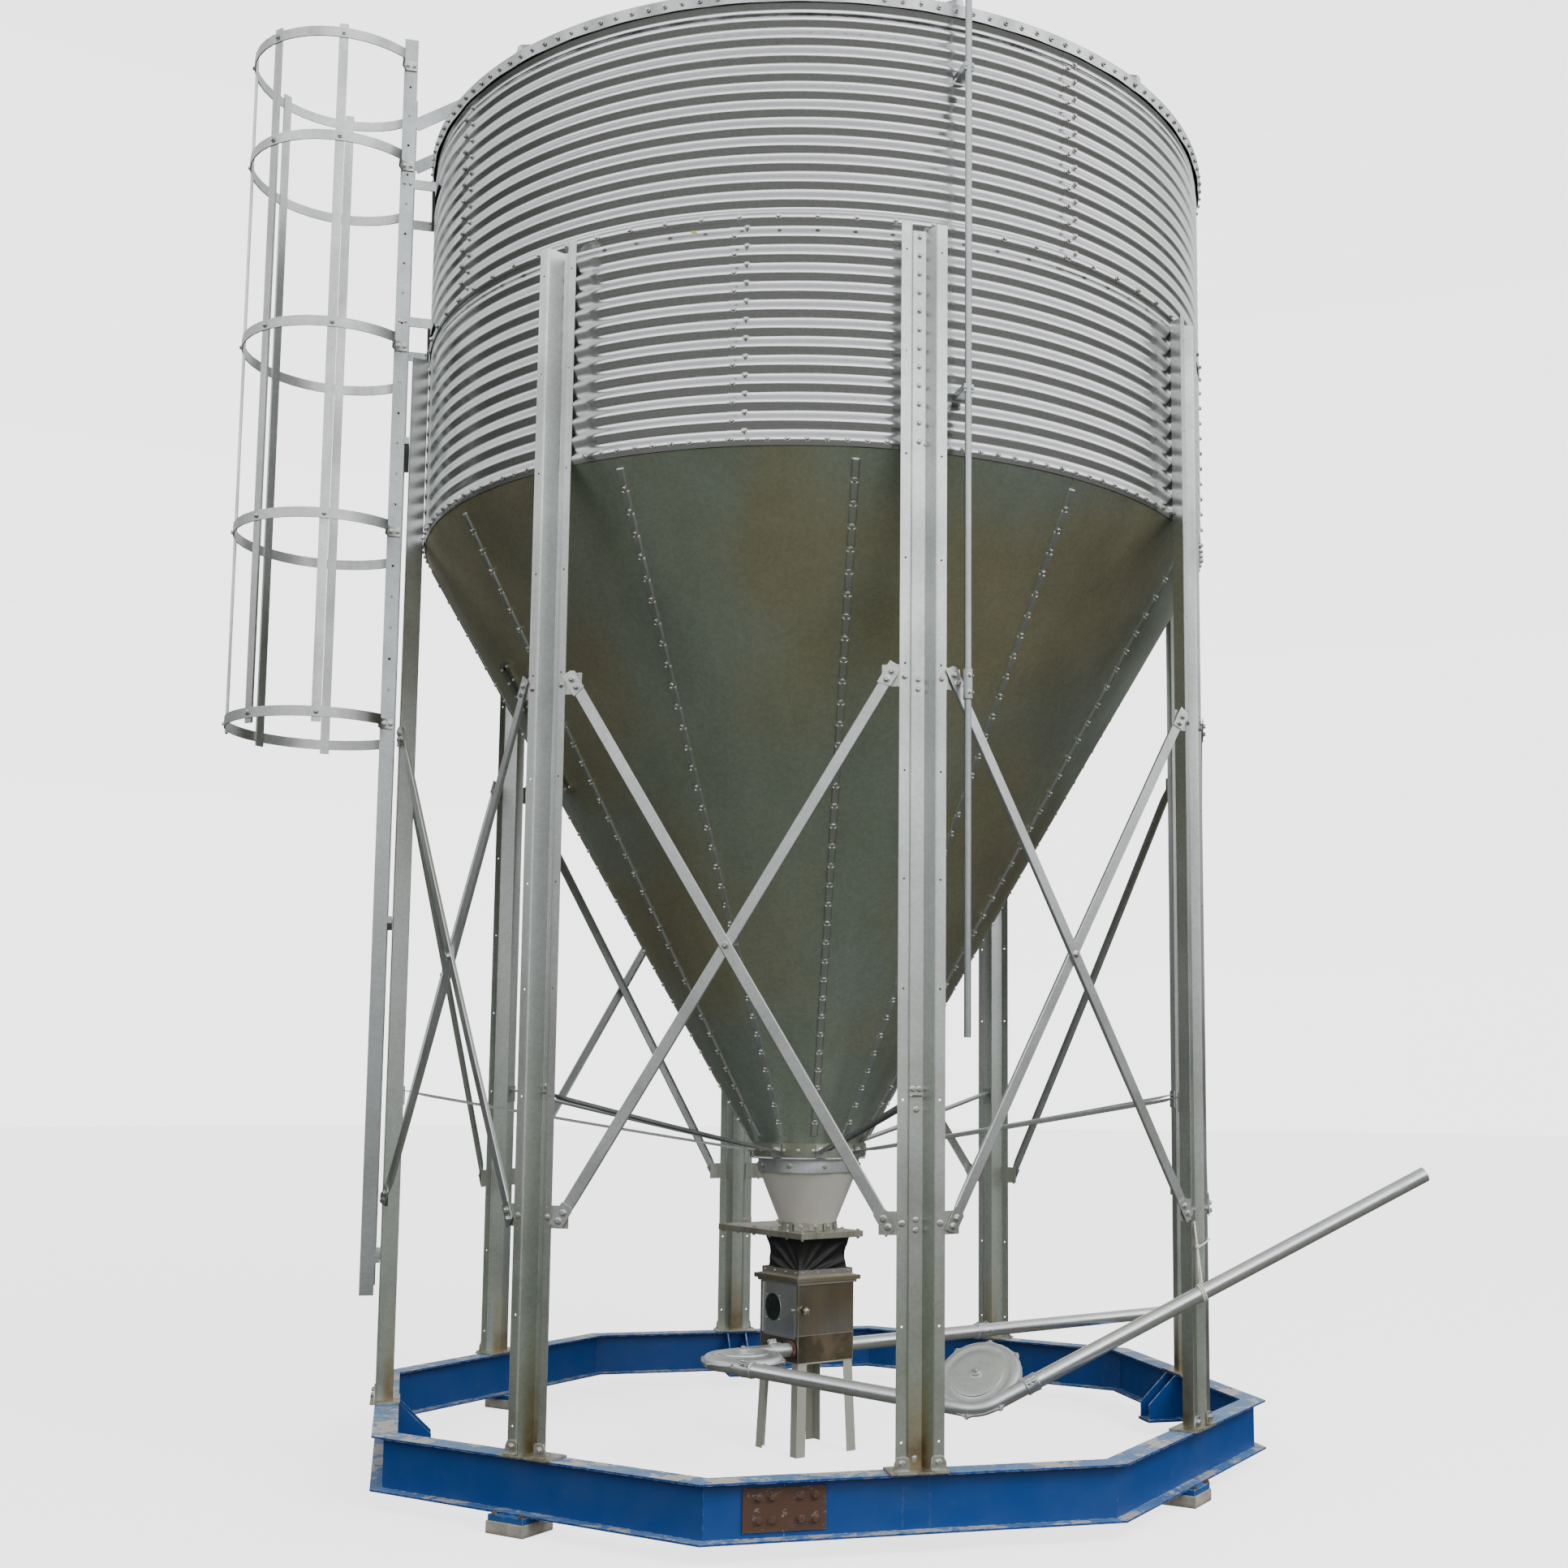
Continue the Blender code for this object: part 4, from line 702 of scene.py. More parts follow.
def roof():
    """Twelve ribbed panels, each with a pleated skirt turned down over the wall."""
    panels = Shape()
    slope = tan(ROOF_SLOPE)
    rib = ((-0.020, 0.0), (-0.014, 0.024), (-0.006, 0.032),
           (0.006, 0.032), (0.014, 0.024), (0.020, 0.0))
    for k in range(12):
        joint = -25.0 + 30 * k

        def panel(u, v, inside):
            angle = joint - 0.8 + 31.4 * u
            r = EAVE_R + 0.003 - (EAVE_R - 0.255) * v
            lap = 0.002 * (1 - ease(u * 8))
            sag = 0.004 * noise.noise((angle * 0.05, r * 1.5, 2.0))
            return at(angle, r, EAVE_Z + 0.001 + (EAVE_R + 0.003 - r) * slope + lap + sag - inside)

        def skirt(u, v, inside):
            angle = joint - 0.8 + 31.4 * u
            lap = 0.0016 * (1 - ease(u * 8))
            pleat = 0.0016 * cos(2 * pi * angle / 7.5) * v
            return at(angle, EAVE_R + 0.0028 - 0.009 * v + lap + pleat - inside,
                      EAVE_Z + 0.002 - 0.046 * v)

        panels.skin(panel, 0.0018, 14, 12)
        panels.skin(skirt, 0.0018, 40, 3)
        place = turn_z(joint)
        panels.loft([[(x, -r, EAVE_Z + (EAVE_R - r) * slope + h) for x, h in rib]
                     for r in (0.262, 1.842)], place)
        out = place.to_3x3() @ Vector((0.0, -sin(ROOF_SLOPE), cos(ROOF_SLOPE)))
        for j in range(9):
            r = 0.35 + 0.175 * j
            for side in (-0.036, 0.036):
                spot = Vector((side, -r, EAVE_Z + (EAVE_R - r) * slope + 0.001))
                panels.bolt(place @ spot, out, 0.007)
    emit(panels, "roof_panels", "roof", "roof_sheet", ["roof"])
    kept("filler_collar", "filler_neck", "roof", "roof_sheet", bevel=0.0015)
    kept("lid", "filler_lid", "roof", "roof_sheet", bevel=0.004)


# Hopper

def cone_point(angle, s, lift=0.0):
    """A point of the hopper, s of the way down, raised off its outer face by lift."""
    (r0, z0), (r1, z1) = CONE_TOP, CONE_LOW
    run, fall = r0 - r1, z0 - z1
    length = hypot(run, fall)
    return at(angle, r0 - run * s + lift * fall / length, z0 - fall * s - lift * run / length)


def cone_normal(angle):
    (r0, z0), (r1, z1) = CONE_TOP, CONE_LOW
    return at(angle, z0 - z1, -(r0 - r1)).normalized()


def seam_s(bays):
    """How far down the hopper a seam's bay starts."""
    return 0.010 + 0.981 * bays / SEAM_BAYS


def seam_rib(ribs, seam):
    """Flat lap strip over a seam, which dips at each of its bolts."""
    knots = (0.0, 0.09, 0.15, 0.22, 0.50, 0.78, 0.85, 0.91)
    steps = SEAM_BAYS * len(knots)

    def rib(u, v, inside):
        bay, knot = divmod(round(u * steps), len(knots))
        part = knots[knot]
        tall = 0.0015 + 0.0065 * ease((min(part, 1.0 - part) - 0.07) / 0.10)
        edge = min(1.0, (1.0 - abs(2 * v - 1)) * 6.0)
        point = cone_point(seam, seam_s(bay + part), 0.0012 + tall * edge - inside)
        return point + at(seam + 90.0, 1.0) * (v - 0.5) * 0.034

    ribs.skin(rib, 0.003, steps, 6)


def sight_strip():
    """Slotted strip on the front left panel, between two bolted rails."""
    strip = Shape()
    top, low = 0.212, 0.420
    left, right = -82.0, -77.4
    for first in (left, right - 1.3):
        strip.skin(lambda u, v, inside: cone_point(first + 1.3 * v, top + (low - top) * u,
                                                   0.010 - inside), 0.012, 14, 1)
    for s in (top, low - 0.006):
        strip.skin(lambda u, v, inside: cone_point(left + (right - left) * u, s + 0.006 * v,
                                                   0.011 - inside), 0.012, 4, 1)

    def pane(u, v, inside):
        angle = left + 1.2 + (right - left - 2.4) * v
        return cone_point(angle, top + (low - top) * u, 0.003 - inside)

    glass = Shape().skin(pane, 0.003, 14, 3)
    bolts = Shape()
    for j in range(10):
        s = top + 0.008 + (low - top - 0.016) * j / 9
        for angle in (left + 0.6, right - 0.6):
            bolts.bolt(cone_point(angle, s, 0.0105), cone_normal(angle), 0.006)
    emit(strip, "sight_frame", "collar", "hopper_sheet", smooth=25)
    emit(glass, "sight_pane", "glass", "window_glass", smooth=25)
    emit(bolts, "sight_bolts", "bolt", "hopper_sheet")


def hopper():
    panels, ribs, bolts = Shape(), Shape(), Shape()
    for k in range(12):
        seam = -7.5 + 30.0 * k

        def panel(u, v, inside):
            angle = seam - 0.4 + 30.8 * u
            bulge = 0.0030 * noise.noise((angle * 0.12, v * 1.4, k * 3.1))
            bulge += 0.0009 * noise.noise((angle * 0.6, v * 3.0, k * 1.7))
            lap = 0.0018 * (1 - ease(u * 10))
            return cone_point(angle, v, bulge * ease(v * 6) + lap - inside)

        panels.skin(panel, 0.002, 14, 40)
        seam_rib(ribs, seam)
        for j in range(1, SEAM_BAYS):
            bolts.bolt(cone_point(seam, seam_s(j), 0.0030), cone_normal(seam), 0.0090)
    nodes = ["hopper_" + part + "_" + str(n) for part in ("lower", "upper") for n in (1, 2, 3, 4)]
    emit(panels, "hopper_panels", "hopper", "hopper_sheet", nodes)
    emit(ribs, "hopper_ribs", "rib", "hopper_sheet", smooth=25)
    emit(bolts, "hopper_bolts", "bolt", "hopper_sheet")
    sight_strip()


# Legs, braces and ring

def leg_column():
    """Hat section with rounded folds and the punched holes of its lips."""
    lip = LIP_R - 0.003
    path = rounded([(-0.091, -lip), (-0.052, -lip), (-0.028, -WEB_R), (0.028, -WEB_R),
                    (0.052, -lip), (0.091, -lip)], 0.005)
    column = Shape().raised(sheet_outline(path, 0.003), BEAM_TOP + 0.0075, LEG_TOP)
    holes = [Shape().tube([(x, -lip + 0.01, z), (x, -lip - 0.02, z)], 0.0042)
             for z in (4.834 - 0.404 * k for k in range(12)) for x in (-0.070, 0.070)]
    return carved(column, holes)


def bracket(shape, side, z):
    """Plate behind a leg's lip, whose wing is bent back into the plane of the braces."""
    wing = 0.060
    path = rounded([(side * 0.056, -BRACKET_SEAT), (side * WING, -BRACKET_SEAT),
                    (side * (WING + wing * cos(HALF_BAY)),
                     -BRACKET_SEAT + wing * sin(HALF_BAY))], 0.006)
    if side > 0:
        path.reverse()
    shape.raised(sheet_outline(path, 0.004), z - 0.0425, z + 0.0425)


def foot_ear(shape, bolts, side):
    """Cleat with a clipped head that stands in front of a lip and holds the leg down."""
    centre = side * 0.0685
    half = 0.0310
    face = -LIP_R - 0.0006
    low, top = BEAM_TOP + 0.0079, BEAM_TOP + 0.060
    out, inner = centre + side * half, centre - side * half
    outline = [(inner, low), (out, low), (out - side * 0.003, top - 0.020),
               (out - side * 0.013, top - 0.002), (out - side * 0.020, top),
               (inner + side * 0.010, top), (inner + side * 0.003, top - 0.008)]
    if side < 0:
        outline.reverse()
    shape.raised(outline, -face, -face + 0.006, LYING)
    shape.block(centre - half, centre + half, face - 0.020, face, BEAM_TOP + 0.0078,
                BEAM_TOP + 0.0135)
    bolts.bolt((centre, face - 0.006, BEAM_TOP + 0.038), FRONT, 0.0100, 1.3, 12)


def brace_bar(start, end, out, bow=0.0, wide=0.0225):
    """Shallow channel between two points, flattened at its bolted ends."""
    start, end, out = Vector(start), Vector(end), Vector(out).normalized()
    way = (end - start).normalized()
    across = way.cross(out).normalized()
    length = (end - start).length
    rings = []
    for reach in (-0.024, 0.030, 0.075, 0.12, 0.3 * length, 0.5 * length, 0.7 * length,
                  length - 0.12, length - 0.075, length - 0.030, length + 0.024):
        deep = 0.0048 + 0.0085 * ease((min(reach, length - reach) - 0.03) / 0.06)
        middle = start + way * reach + out * bow * sin(pi * min(max(reach / length, 0), 1))
        outline = [(-wide, -deep), (-wide, -0.003), (-wide + 0.003, 0.0), (wide - 0.003, 0.0),
                   (wide, -0.003), (wide, -deep), (wide - 0.003, -deep),
                   (wide - 0.004, -0.0042), (-wide + 0.004, -0.0042), (-wide + 0.003, -deep)]
        rings.append([middle + across * x + out * (y + 0.005) for x, y in outline])
    return Shape().loft(rings)


def tie_bar():
    """Channel from the leg's web down to the collar, flattened at its ends."""
    web = -WEB_R + 0.0005
    tie = brace_bar((0, web + 0.004, 1.610), (0, -0.2715, 1.350), (0, -0.16, 1.0), -0.004, 0.020)
    tie.block(-0.025, 0.025, web, web + 0.006, 1.550, 1.632)
    return tie.block(-0.024, 0.024, -0.2706, -0.2610, 1.321, 1.380)


def legs():
    column, plates, fittings, tie = leg_column(), Shape(), Shape(), tie_bar()
    half, front, back = 0.112, -1.926, -1.800
    plates.raised(rounded([(-half, front), (half, front), (half, back), (-half, back),
                           (-half, front)], 0.012)[1:], BEAM_TOP, BEAM_TOP + 0.008)
    web_face = -WEB_R - 0.0031
    for z in BRACKETS:
        for side in (-1, 1):
            bracket(plates, side, z)
            fittings.bolt((side * 0.072, -LIP_R - 0.0001, z - 0.002), FRONT, 0.0085)
        fittings.grid_of_bolts((0.0,), (web_face,), (z + 0.005, z - 0.032), FRONT, 0.0075)
    for side in (-1, 1):
        foot_ear(plates, fittings, side)
    fittings.grid_of_bolts((0.0,), (web_face,), [4.922 - 0.0745 * k for k in range(12)], FRONT,
                           0.0075)
    for x, z in ((-0.012, 1.640), (0.012, 1.640), (0.0, 1.565), (0.0, 0.318)):
        fittings.bolt((x, web_face, z), FRONT, 0.0078)
    fittings.bolt((0, -0.2708, 1.352), FRONT, 0.0110, 1.6)
    for k, place in enumerate(LEG_NAMES):
        turn = turn_z(45.0 * k)
        emit(column.copied(turn), "leg_column_" + place, "leg", "leg_steel", ["leg_" + place])
        emit(plates.copied(turn), "leg_plates_" + place, "plate", "leg_steel", bevel=0.001)
        emit(tie.copied(turn), "tie_bar_" + place, "tie", "leg_steel")
        emit(fittings.copied(turn), "leg_bolts_" + place, "bolt", "leg_steel")


def end_plate(shape, bolts, x, z, lean, face):
    """Clipped plate over a brace's end, with two bolts in line with the brace."""
    place = Matrix.Translation((x, face, z)) @ Matrix.Rotation(lean, 4, "Y")
    shape.raised([(-0.026, -0.044), (0.026, -0.032), (0.026, 0.040), (0.012, 0.050),
                  (-0.026, 0.050)], 0.0, 0.0035, place @ LYING)
    for reach in (-0.017, 0.018):
        bolts.bolt(place @ Vector((0.0, -0.0035, reach)), FRONT, 0.0095)


def braces():
    near = BRACKET_SEAT * cos(HALF_BAY) + WING * sin(HALF_BAY) + 0.0005
    reach = BRACKET_SEAT * sin(HALF_BAY) - WING * cos(HALF_BAY) - 0.032
    low, high = BRACKETS
    lean = atan2(2 * reach, high - low)
    for k, place in enumerate(LEG_NAMES):
        name = place + "_to_" + LEG_NAMES[(k + 1) % 8]
        bolts, bars = Shape(), Shape()
        for side, bow in ((-1, -0.0045), (1, 0.0075)):
            bars.join(brace_bar((side * reach, -near, low), (-side * reach, -near, high),
                                FRONT, bow))
            for x, z in ((side * reach, low), (-side * reach, high)):
                end_plate(bars, bolts, x, z, -side * lean, -near - 0.0052)
        bolts.bolt((0, -near - 0.0125, (low + high) / 2), FRONT, 0.010)
        turn = turn_z(22.5 + 45.0 * k)
        emit(bars.copied(turn), "brace_bars_" + name, "brace", "brace_steel", ["brace_" + name])
        emit(bolts.copied(turn), "brace_bolts_" + name, "bolt", "brace_steel")


def base_ring():
    # The front beam's web is smooth in the photo, so the gussets' outer halves are cut away
    outer_halves = [Shape().block(x - 0.006, x + 0.006, -BEAM_OUTER - 0.01, -BEAM_WEB - 0.0002,
                                  BEAM_LOW + 0.0002, BEAM_HIGH - 0.0002, turn_z(90.0 * k))
                    for k in range(4) for x in (-0.050, 0.050)]
    for side in ("left", "right"):
        node = "base_ring_" + side
        emit(carved(shape_of_mesh(from_node(node), AXIS), outer_halves), "ring_beams_" + side,
             "base", "base_paint", [node], bevel=0.0018)
    for k in (1, 3, 5, 7):
        place = LEG_NAMES[k]
        turn = turn_z(45.0 * k)
        emit(Shape().block(-0.163, 0.019, -1.933, -1.762, 0.0, 0.047, turn),
             "pad_block_" + place, "block", "pad_paint", ["foot_pad_" + place], bevel=0.004)
        bolts = Shape()
        bolts.grid_of_bolts((-0.130, 0.0), (-1.920,), (0.0699,), UP, 0.010, 1.3)
        emit(Shape().block(-0.157, 0.013, -1.9275, -1.7675, 0.047, 0.0696, turn),
             "pad_plate_" + place, "pad", "pad_paint", bevel=0.0015)
        emit(bolts.copied(turn), "pad_bolts_" + place, "rust", "pad_paint")
    for end, turn in (("front", 0.0), ("back", 180.0)):
        kept("splice_plate_" + end, "splice_" + end, "rust", "rusty_plate", bevel=0.0015)
        bolts = Shape()
        bolts.grid_of_bolts((-0.576, -0.527, -0.425, -0.373), (-1.8665,), (0.218, 0.138), FRONT,
                            0.0125, 1.4)
        emit(bolts.copied(turn_z(turn)), "splice_bolts_" + end, "rust", "rusty_plate")


# Outlet: collar, reducer, gate and boot. The box's front and its door's side have own frames.

BOX_TURN = 22.5
DOOR_TURN = BOX_TURN - 90.0
BOX_FRAME = turn_z(BOX_TURN)
DOOR_FRAME = turn_z(DOOR_TURN)
BOX_OUT = BOX_FRAME.to_3x3() @ Vector(FRONT)
BOOT_TOP = 0.9575
BOOT_LOW = 0.7855


def collar():
    kept("hopper_collar", "collar_ring", "collar", "collar_steel", bevel=0.0012)
    trim = Shape().spun([(0.2618, 1.3130), (0.2655, 1.3135), (0.2660, 1.3170), (0.2622, 1.3220)],
                        steps=64)
    bolts = Shape()
    bolts.ring_of_bolts(24, 0.5, 0.2615, 1.352, 0.0066)
    emit(trim, "collar_lip", "band", "collar_steel")
    emit(bolts, "collar_bolts", "bolt", "collar_steel")


def reducer():
    """Wavy band, cone with a lap seam and a ring of bent tabs."""
    slot = "transition_paint"
    band_low, band_top = 1.2535, 1.3118
    (r0, z0), (r1, z1) = (0.2285, 1.262), (0.1300, 1.0170)

    def band(u, v, inside):
        angle = 360.0 * u
        turn = at(angle, 1.0)
        ripple = noise.noise((turn.x * 2.2, turn.y * 2.2, 4.0 + v))
        edge = 0.004 * noise.noise((turn.x * 3.0, turn.y * 3.0, 9.0))
        z = band_low + edge * (1 - v) + (band_top - band_low) * v
        return at(angle, 0.2345 + 0.0032 * ripple + 0.0016 * cos(radians(9 * angle)) - inside, z)

    def cone(u, v, inside):
        angle = 16.0 + 362.5 * u
        turn = at(angle, 1.0)
        bulge = 0.0014 * noise.noise((turn.x * 2.0, turn.y * 2.0, v * 2.0))
        lap = 0.0022 * ease((u - 0.986) / 0.004)
        r = r0 + (r1 - r0) * v
        return at(angle, r + bulge + lap - inside, z0 + (z1 - z0) * v)

    emit(Shape().skin(band, 0.0025, 144, 6), "outlet_band", "band", slot, ["outlet_transition"])
    emit(Shape().skin(cone, 0.0020, 120, 14), "outlet_cone", "pale", slot, smooth=30)
    ring = Shape().spun([(0.1215, 0.9866), (0.1285, 0.9866), (0.1285, 1.0205), (0.1215, 1.0205)])
    bolts = Shape()
    for k in range(12):
        angle = 30.0 * k + 4.0
        sway = dice.uniform(-0.0015, 0.0015)
        place = turn_z(angle)
        ring.block(-0.030, 0.030, -0.1318 - sway, -0.1290, 0.9900, 1.0255 + sway, place)
        ring.block(-0.029, 0.029, -0.1395, -0.1300, 0.9868, 0.9895, place)
        bolts.wall_bolt(angle, 0.1320, 1.0045, 0.0078)
    torn = [(-0.004, -0.1345, 1.0480), (0.003, -0.1335, 1.0300), (0.012, -0.1330, 1.0220)]
    ring.tube([turn_z(11.0) @ Vector(p) for p in torn], [0.0006, 0.0022, 0.0012], 6)
    emit(ring, "outlet_tabs", "plate", slot, ["outlet_ring"], bevel=0.0006)
    emit(bolts, "outlet_tab_bolts", "bolt", slot)
    fixing = Shape()
    fixing.ring_of_bolts(9, 0.15, 0.2362, 1.283, 0.0085)
    emit(fixing, "outlet_band_bolts", "bolt", slot)


def gate():
    kept("gate_frame", "gate_plate", "gate", "gate_plate", bevel=0.0018)
    kept("gate_blade", "gate_slide", "gate", "gate_plate", body="gate", bevel=0.0008)
    top, under = 0.9861, 0.9579
    bolts = Shape()
    for x in (-0.155, 0.155):
        for y in (-0.182, -0.060, 0.080, 0.215, 0.350, 0.480):
            bolts.bolt(BOX_FRAME @ Vector((x, y, top)), UP, 0.0075)
            bolts.bolt(BOX_FRAME @ Vector((x, y, under)), (0, 0, -1), 0.0075)
    for x in (-0.075, 0.0, 0.075):
        bolts.bolt(BOX_FRAME @ Vector((x, -0.188, top)), UP, 0.0062)
    emit(bolts, "gate_bolts", "bolt", "gate_plate")


def boot_fold(side, x, t):
    """Height of the folds that run out from the lower corner that two sides share."""
    reach = (1.0 + x if side % 2 == 0 else 1.0 - x) * 0.144
    rise = t * (BOOT_TOP - BOOT_LOW)
    turn = atan2(rise, max(reach, 0.0001))
    far = hypot(reach, rise)
    height = 0.0
    for centre, width, tall in ((0.20, 0.055, 0.008), (0.47, 0.060, 0.010), (0.82, 0.075, 0.008),
                                (1.22, 0.090, 0.006)):
        bend = centre + 0.05 * (side - 1.5) * (0.4 if side % 2 else -0.3)
        height += tall * 2.718 ** (-((turn - bend) / width) ** 2)
    height *= ease(far / 0.10) * (1.0 - 0.45 * ease((far - 0.18) / 0.14))
    slack = 0.004 * noise.noise((x * 2.4 + side * 7.0, t * 2.2, 5.0))
    return (height - 0.004 + slack) * ease(t * 6) * ease((1 - t) * 6)


def boot_ring(t, inside):
    half = 0.1440 - 0.0170 * sin(pi * t) ** 0.7
    z = BOOT_LOW + t * (BOOT_TOP - BOOT_LOW)
    points = []
    for side in (3, 0, 1, 2):
        place = turn_z(BOX_TURN + 90.0 * side)
        for j in range(32):
            x = -1.0 + j / 16
            round_off = 0.004 * max(0.0, abs(x) - 0.9) / 0.1
            out = half + boot_fold(side, x, t) - round_off - inside
            points.append(place @ Vector((x * (half - inside), -out, z)))
    return points


def boot():
    steps = [k / 36 for k in range(37)]
    cloth = 0.0016
    sleeve = Shape().loft([boot_ring(t, 0.0) for t in steps]
                          + [boot_ring(t, cloth) for t in reversed(steps)], loop=True)
    obj = emit(sleeve, "boot_sleeve", "fabric", "boot_fabric", ["boot"], smooth=80)


# Intake box, door and stand

def intake_box():
    slot = "box_stainless"
    kept("intake_box", "box_shell", "box", slot, bevel=0.0015)
    ledges, rivets = Shape(), Shape()
    for outer, inner, z0, z1 in ((0.1500, 0.1450, 0.7853, 0.8170),
                                 (0.1640, 0.1522, 0.7525, 0.7648),
                                 (0.1600, 0.1501, 0.7853, 0.7885)):
        far, near = outer * sqrt(2.0), inner * sqrt(2.0)
        ledges.spun([(far, z0), (far, z1), (near, z1), (near, z0)], BOX_TURN + 45.0, 4)
    for side in range(4):
        place = turn_z(BOX_TURN + 90.0 * side)
        for x in (-0.125, -0.045, 0.045, 0.125):
            rivets.bolt(place @ Vector((x, -0.1501, 0.8045)), place.to_3x3() @ Vector(FRONT),
                        0.0045, 1.2, 10)
        ledges.block(-0.1525, 0.1525, -0.1540, -0.1518, 0.5265, 0.5290, place)
        for x in (-0.1535, 0.1505):
            ledges.block(x, x + 0.003, -0.1538, -0.1505, 0.4095, 0.7520, place)
    corners = [(0.040, 0.4100), (0.1500, 0.5200), (0.1500, 0.4100)]
    lip = Shape().loft([[Vector((x, y, z)) for x, z in corners] for y in (-0.1519, -0.1540)],
                       BOX_FRAME)
    emit(lip, "box_lip", "box", slot, bevel=0.0004)
    emit(ledges, "box_ledges", "ledge", slot, bevel=0.0006)
    place = BOX_FRAME @ Matrix.Translation((-0.118, -0.1520, 0.6390))
    knob = Shape().lathe(place.to_translation(), BOX_OUT, [
        (0.0, 0.0050), (0.010, 0.0050), (0.010, 0.0135), (0.020, 0.0120), (0.022, 0.0070)], 10)
    for k in range(5):
        turn = 2 * pi * k / 5 + 0.3
        tip = place @ Vector((0.0125 * cos(turn), -0.015, 0.0125 * sin(turn)))
        knob.lathe(tip - BOX_OUT * 0.005, BOX_OUT, [(0.0, 0.0050), (0.010, 0.0045)], 8)
    emit(knob, "box_knob", "plate", slot)
    emit(rivets, "box_rivets", "bolt", slot)


def door():
    slot = "box_stainless"
    kept("box_door", "door_leaf", "door", slot, body="door", bevel=0.0008)
    kept("door_window", "door_pane", "glass", "window_glass", body="door", bevel=0.0004)

    window_x, window_z = -0.046, 0.640

    def by_window(turn, r, y):
        """A point of the door by its turn about the window's centre."""
        return DOOR_FRAME @ Vector((window_x + r * cos(turn), -y, window_z + r * sin(turn)))

    profile = ((0.0618, 0.1545), (0.0618, 0.1575), (0.0640, 0.1575), (0.0645, 0.1562))
    trim = Shape().loft([[by_window(turn, r, y) for r, y in profile] for turn in turns(40)],
                        loop=True)
    out = DOOR_FRAME.to_3x3() @ Vector(FRONT)
    for k in range(4):
        trim.bolt(by_window(radians(45.0 + 90.0 * k), 0.073, 0.1563), out, 0.0032, 1.3, 10)
    trim.block(0.118, 0.133, -0.1600, -0.1560, 0.600, 0.624, DOOR_FRAME)
    for z in (0.7455, 0.5215):
        trim.block(-0.118, 0.124, -0.1575, -0.1560, z, z + 0.0025, DOOR_FRAME)
    emit(trim, "door_trim", "door", slot, body="door")


# Conveyor: feed tube, corner wheels, link and front tube, twine

TUBE_R = 0.031
TUBE_SIDES = 28
FEED_Z = 0.465
# Distance of the feed line from the box's middle, towards the front
FEED_ASIDE = 0.100
FEED_END = 2.4
FRONT_LONG = 1.8
WHEEL_TUBE_R = 0.145
# Where the left wheel's middle stands on the feed line, and the stubs of tube on the wheels
WHEEL_ASIDE = 0.503
LINK_STUB = 0.150
FRONT_STUB = 0.200
BEND_POINT = Vector((0.403, -1.343, 0.384))
GAP = 0.0003
TO_DOOR = at(DOOR_TURN, 1.0)


def feed_point(reach):
    """A point of the feed line, by its distance from the box's middle on the door's side."""
    return at(BOX_TURN, FEED_ASIDE) + at(DOOR_TURN, reach) + Vector((0, 0, FEED_Z))


def tangent_from(centre, point, radius):
    way = Vector((point.x - centre.x, point.y - centre.y, 0.0))
    spread = pi / 2 - atan2(radius, sqrt(way.length_squared - radius * radius))
    return centre + round_at(atan2(way.y, way.x) - spread, radius)


def pipe(shape, start, way, length, steps=1, inside=()):
    """A length of tube, with further stations of its inside."""
    stations = [(length * k / steps, TUBE_R) for k in range(steps + 1)]
    shape.lathe(start, way, stations + list(inside), TUBE_SIDES)


def open_tube(shape, start, way, length):
    """A tube whose far end is open, with its wall and bore showing."""
    bore = TUBE_R - 0.0028
    pipe(shape, start, way, length, round(length / 0.12), [(length, bore), (length - 0.25, bore)])


def clamp(shape, bolts, point, way, half, spin):
    """Split band round a tube, with two ears and their bolts."""
    way = Vector(way).normalized()
    shape.lathe(Vector(point) - way * half, way,
                [(0.0, 0.0335), (0.004, 0.0372), (0.012, 0.0360), (half, 0.0352),
                 (2 * half - 0.012, 0.0360), (2 * half - 0.004, 0.0372), (2 * half, 0.0335)],
                TUBE_SIDES)
    for side in (0.0, pi):
        ear = aimed(point, way) @ Matrix.Rotation(spin + side, 4, "Z")
        out = ear.to_3x3() @ Vector((1, 0, 0))
        for x in (-0.007, 0.004):
            shape.block(x, x + 0.0035, 0.034, 0.056, -0.020, 0.020, ear)
        for z in (-0.010, 0.010):
            bolts.bolt(ear @ Vector((0.0075, 0.0465, z)), out, 0.0062)
            bolts.bolt(ear @ Vector((-0.007, 0.0465, z)), -out, 0.0058)


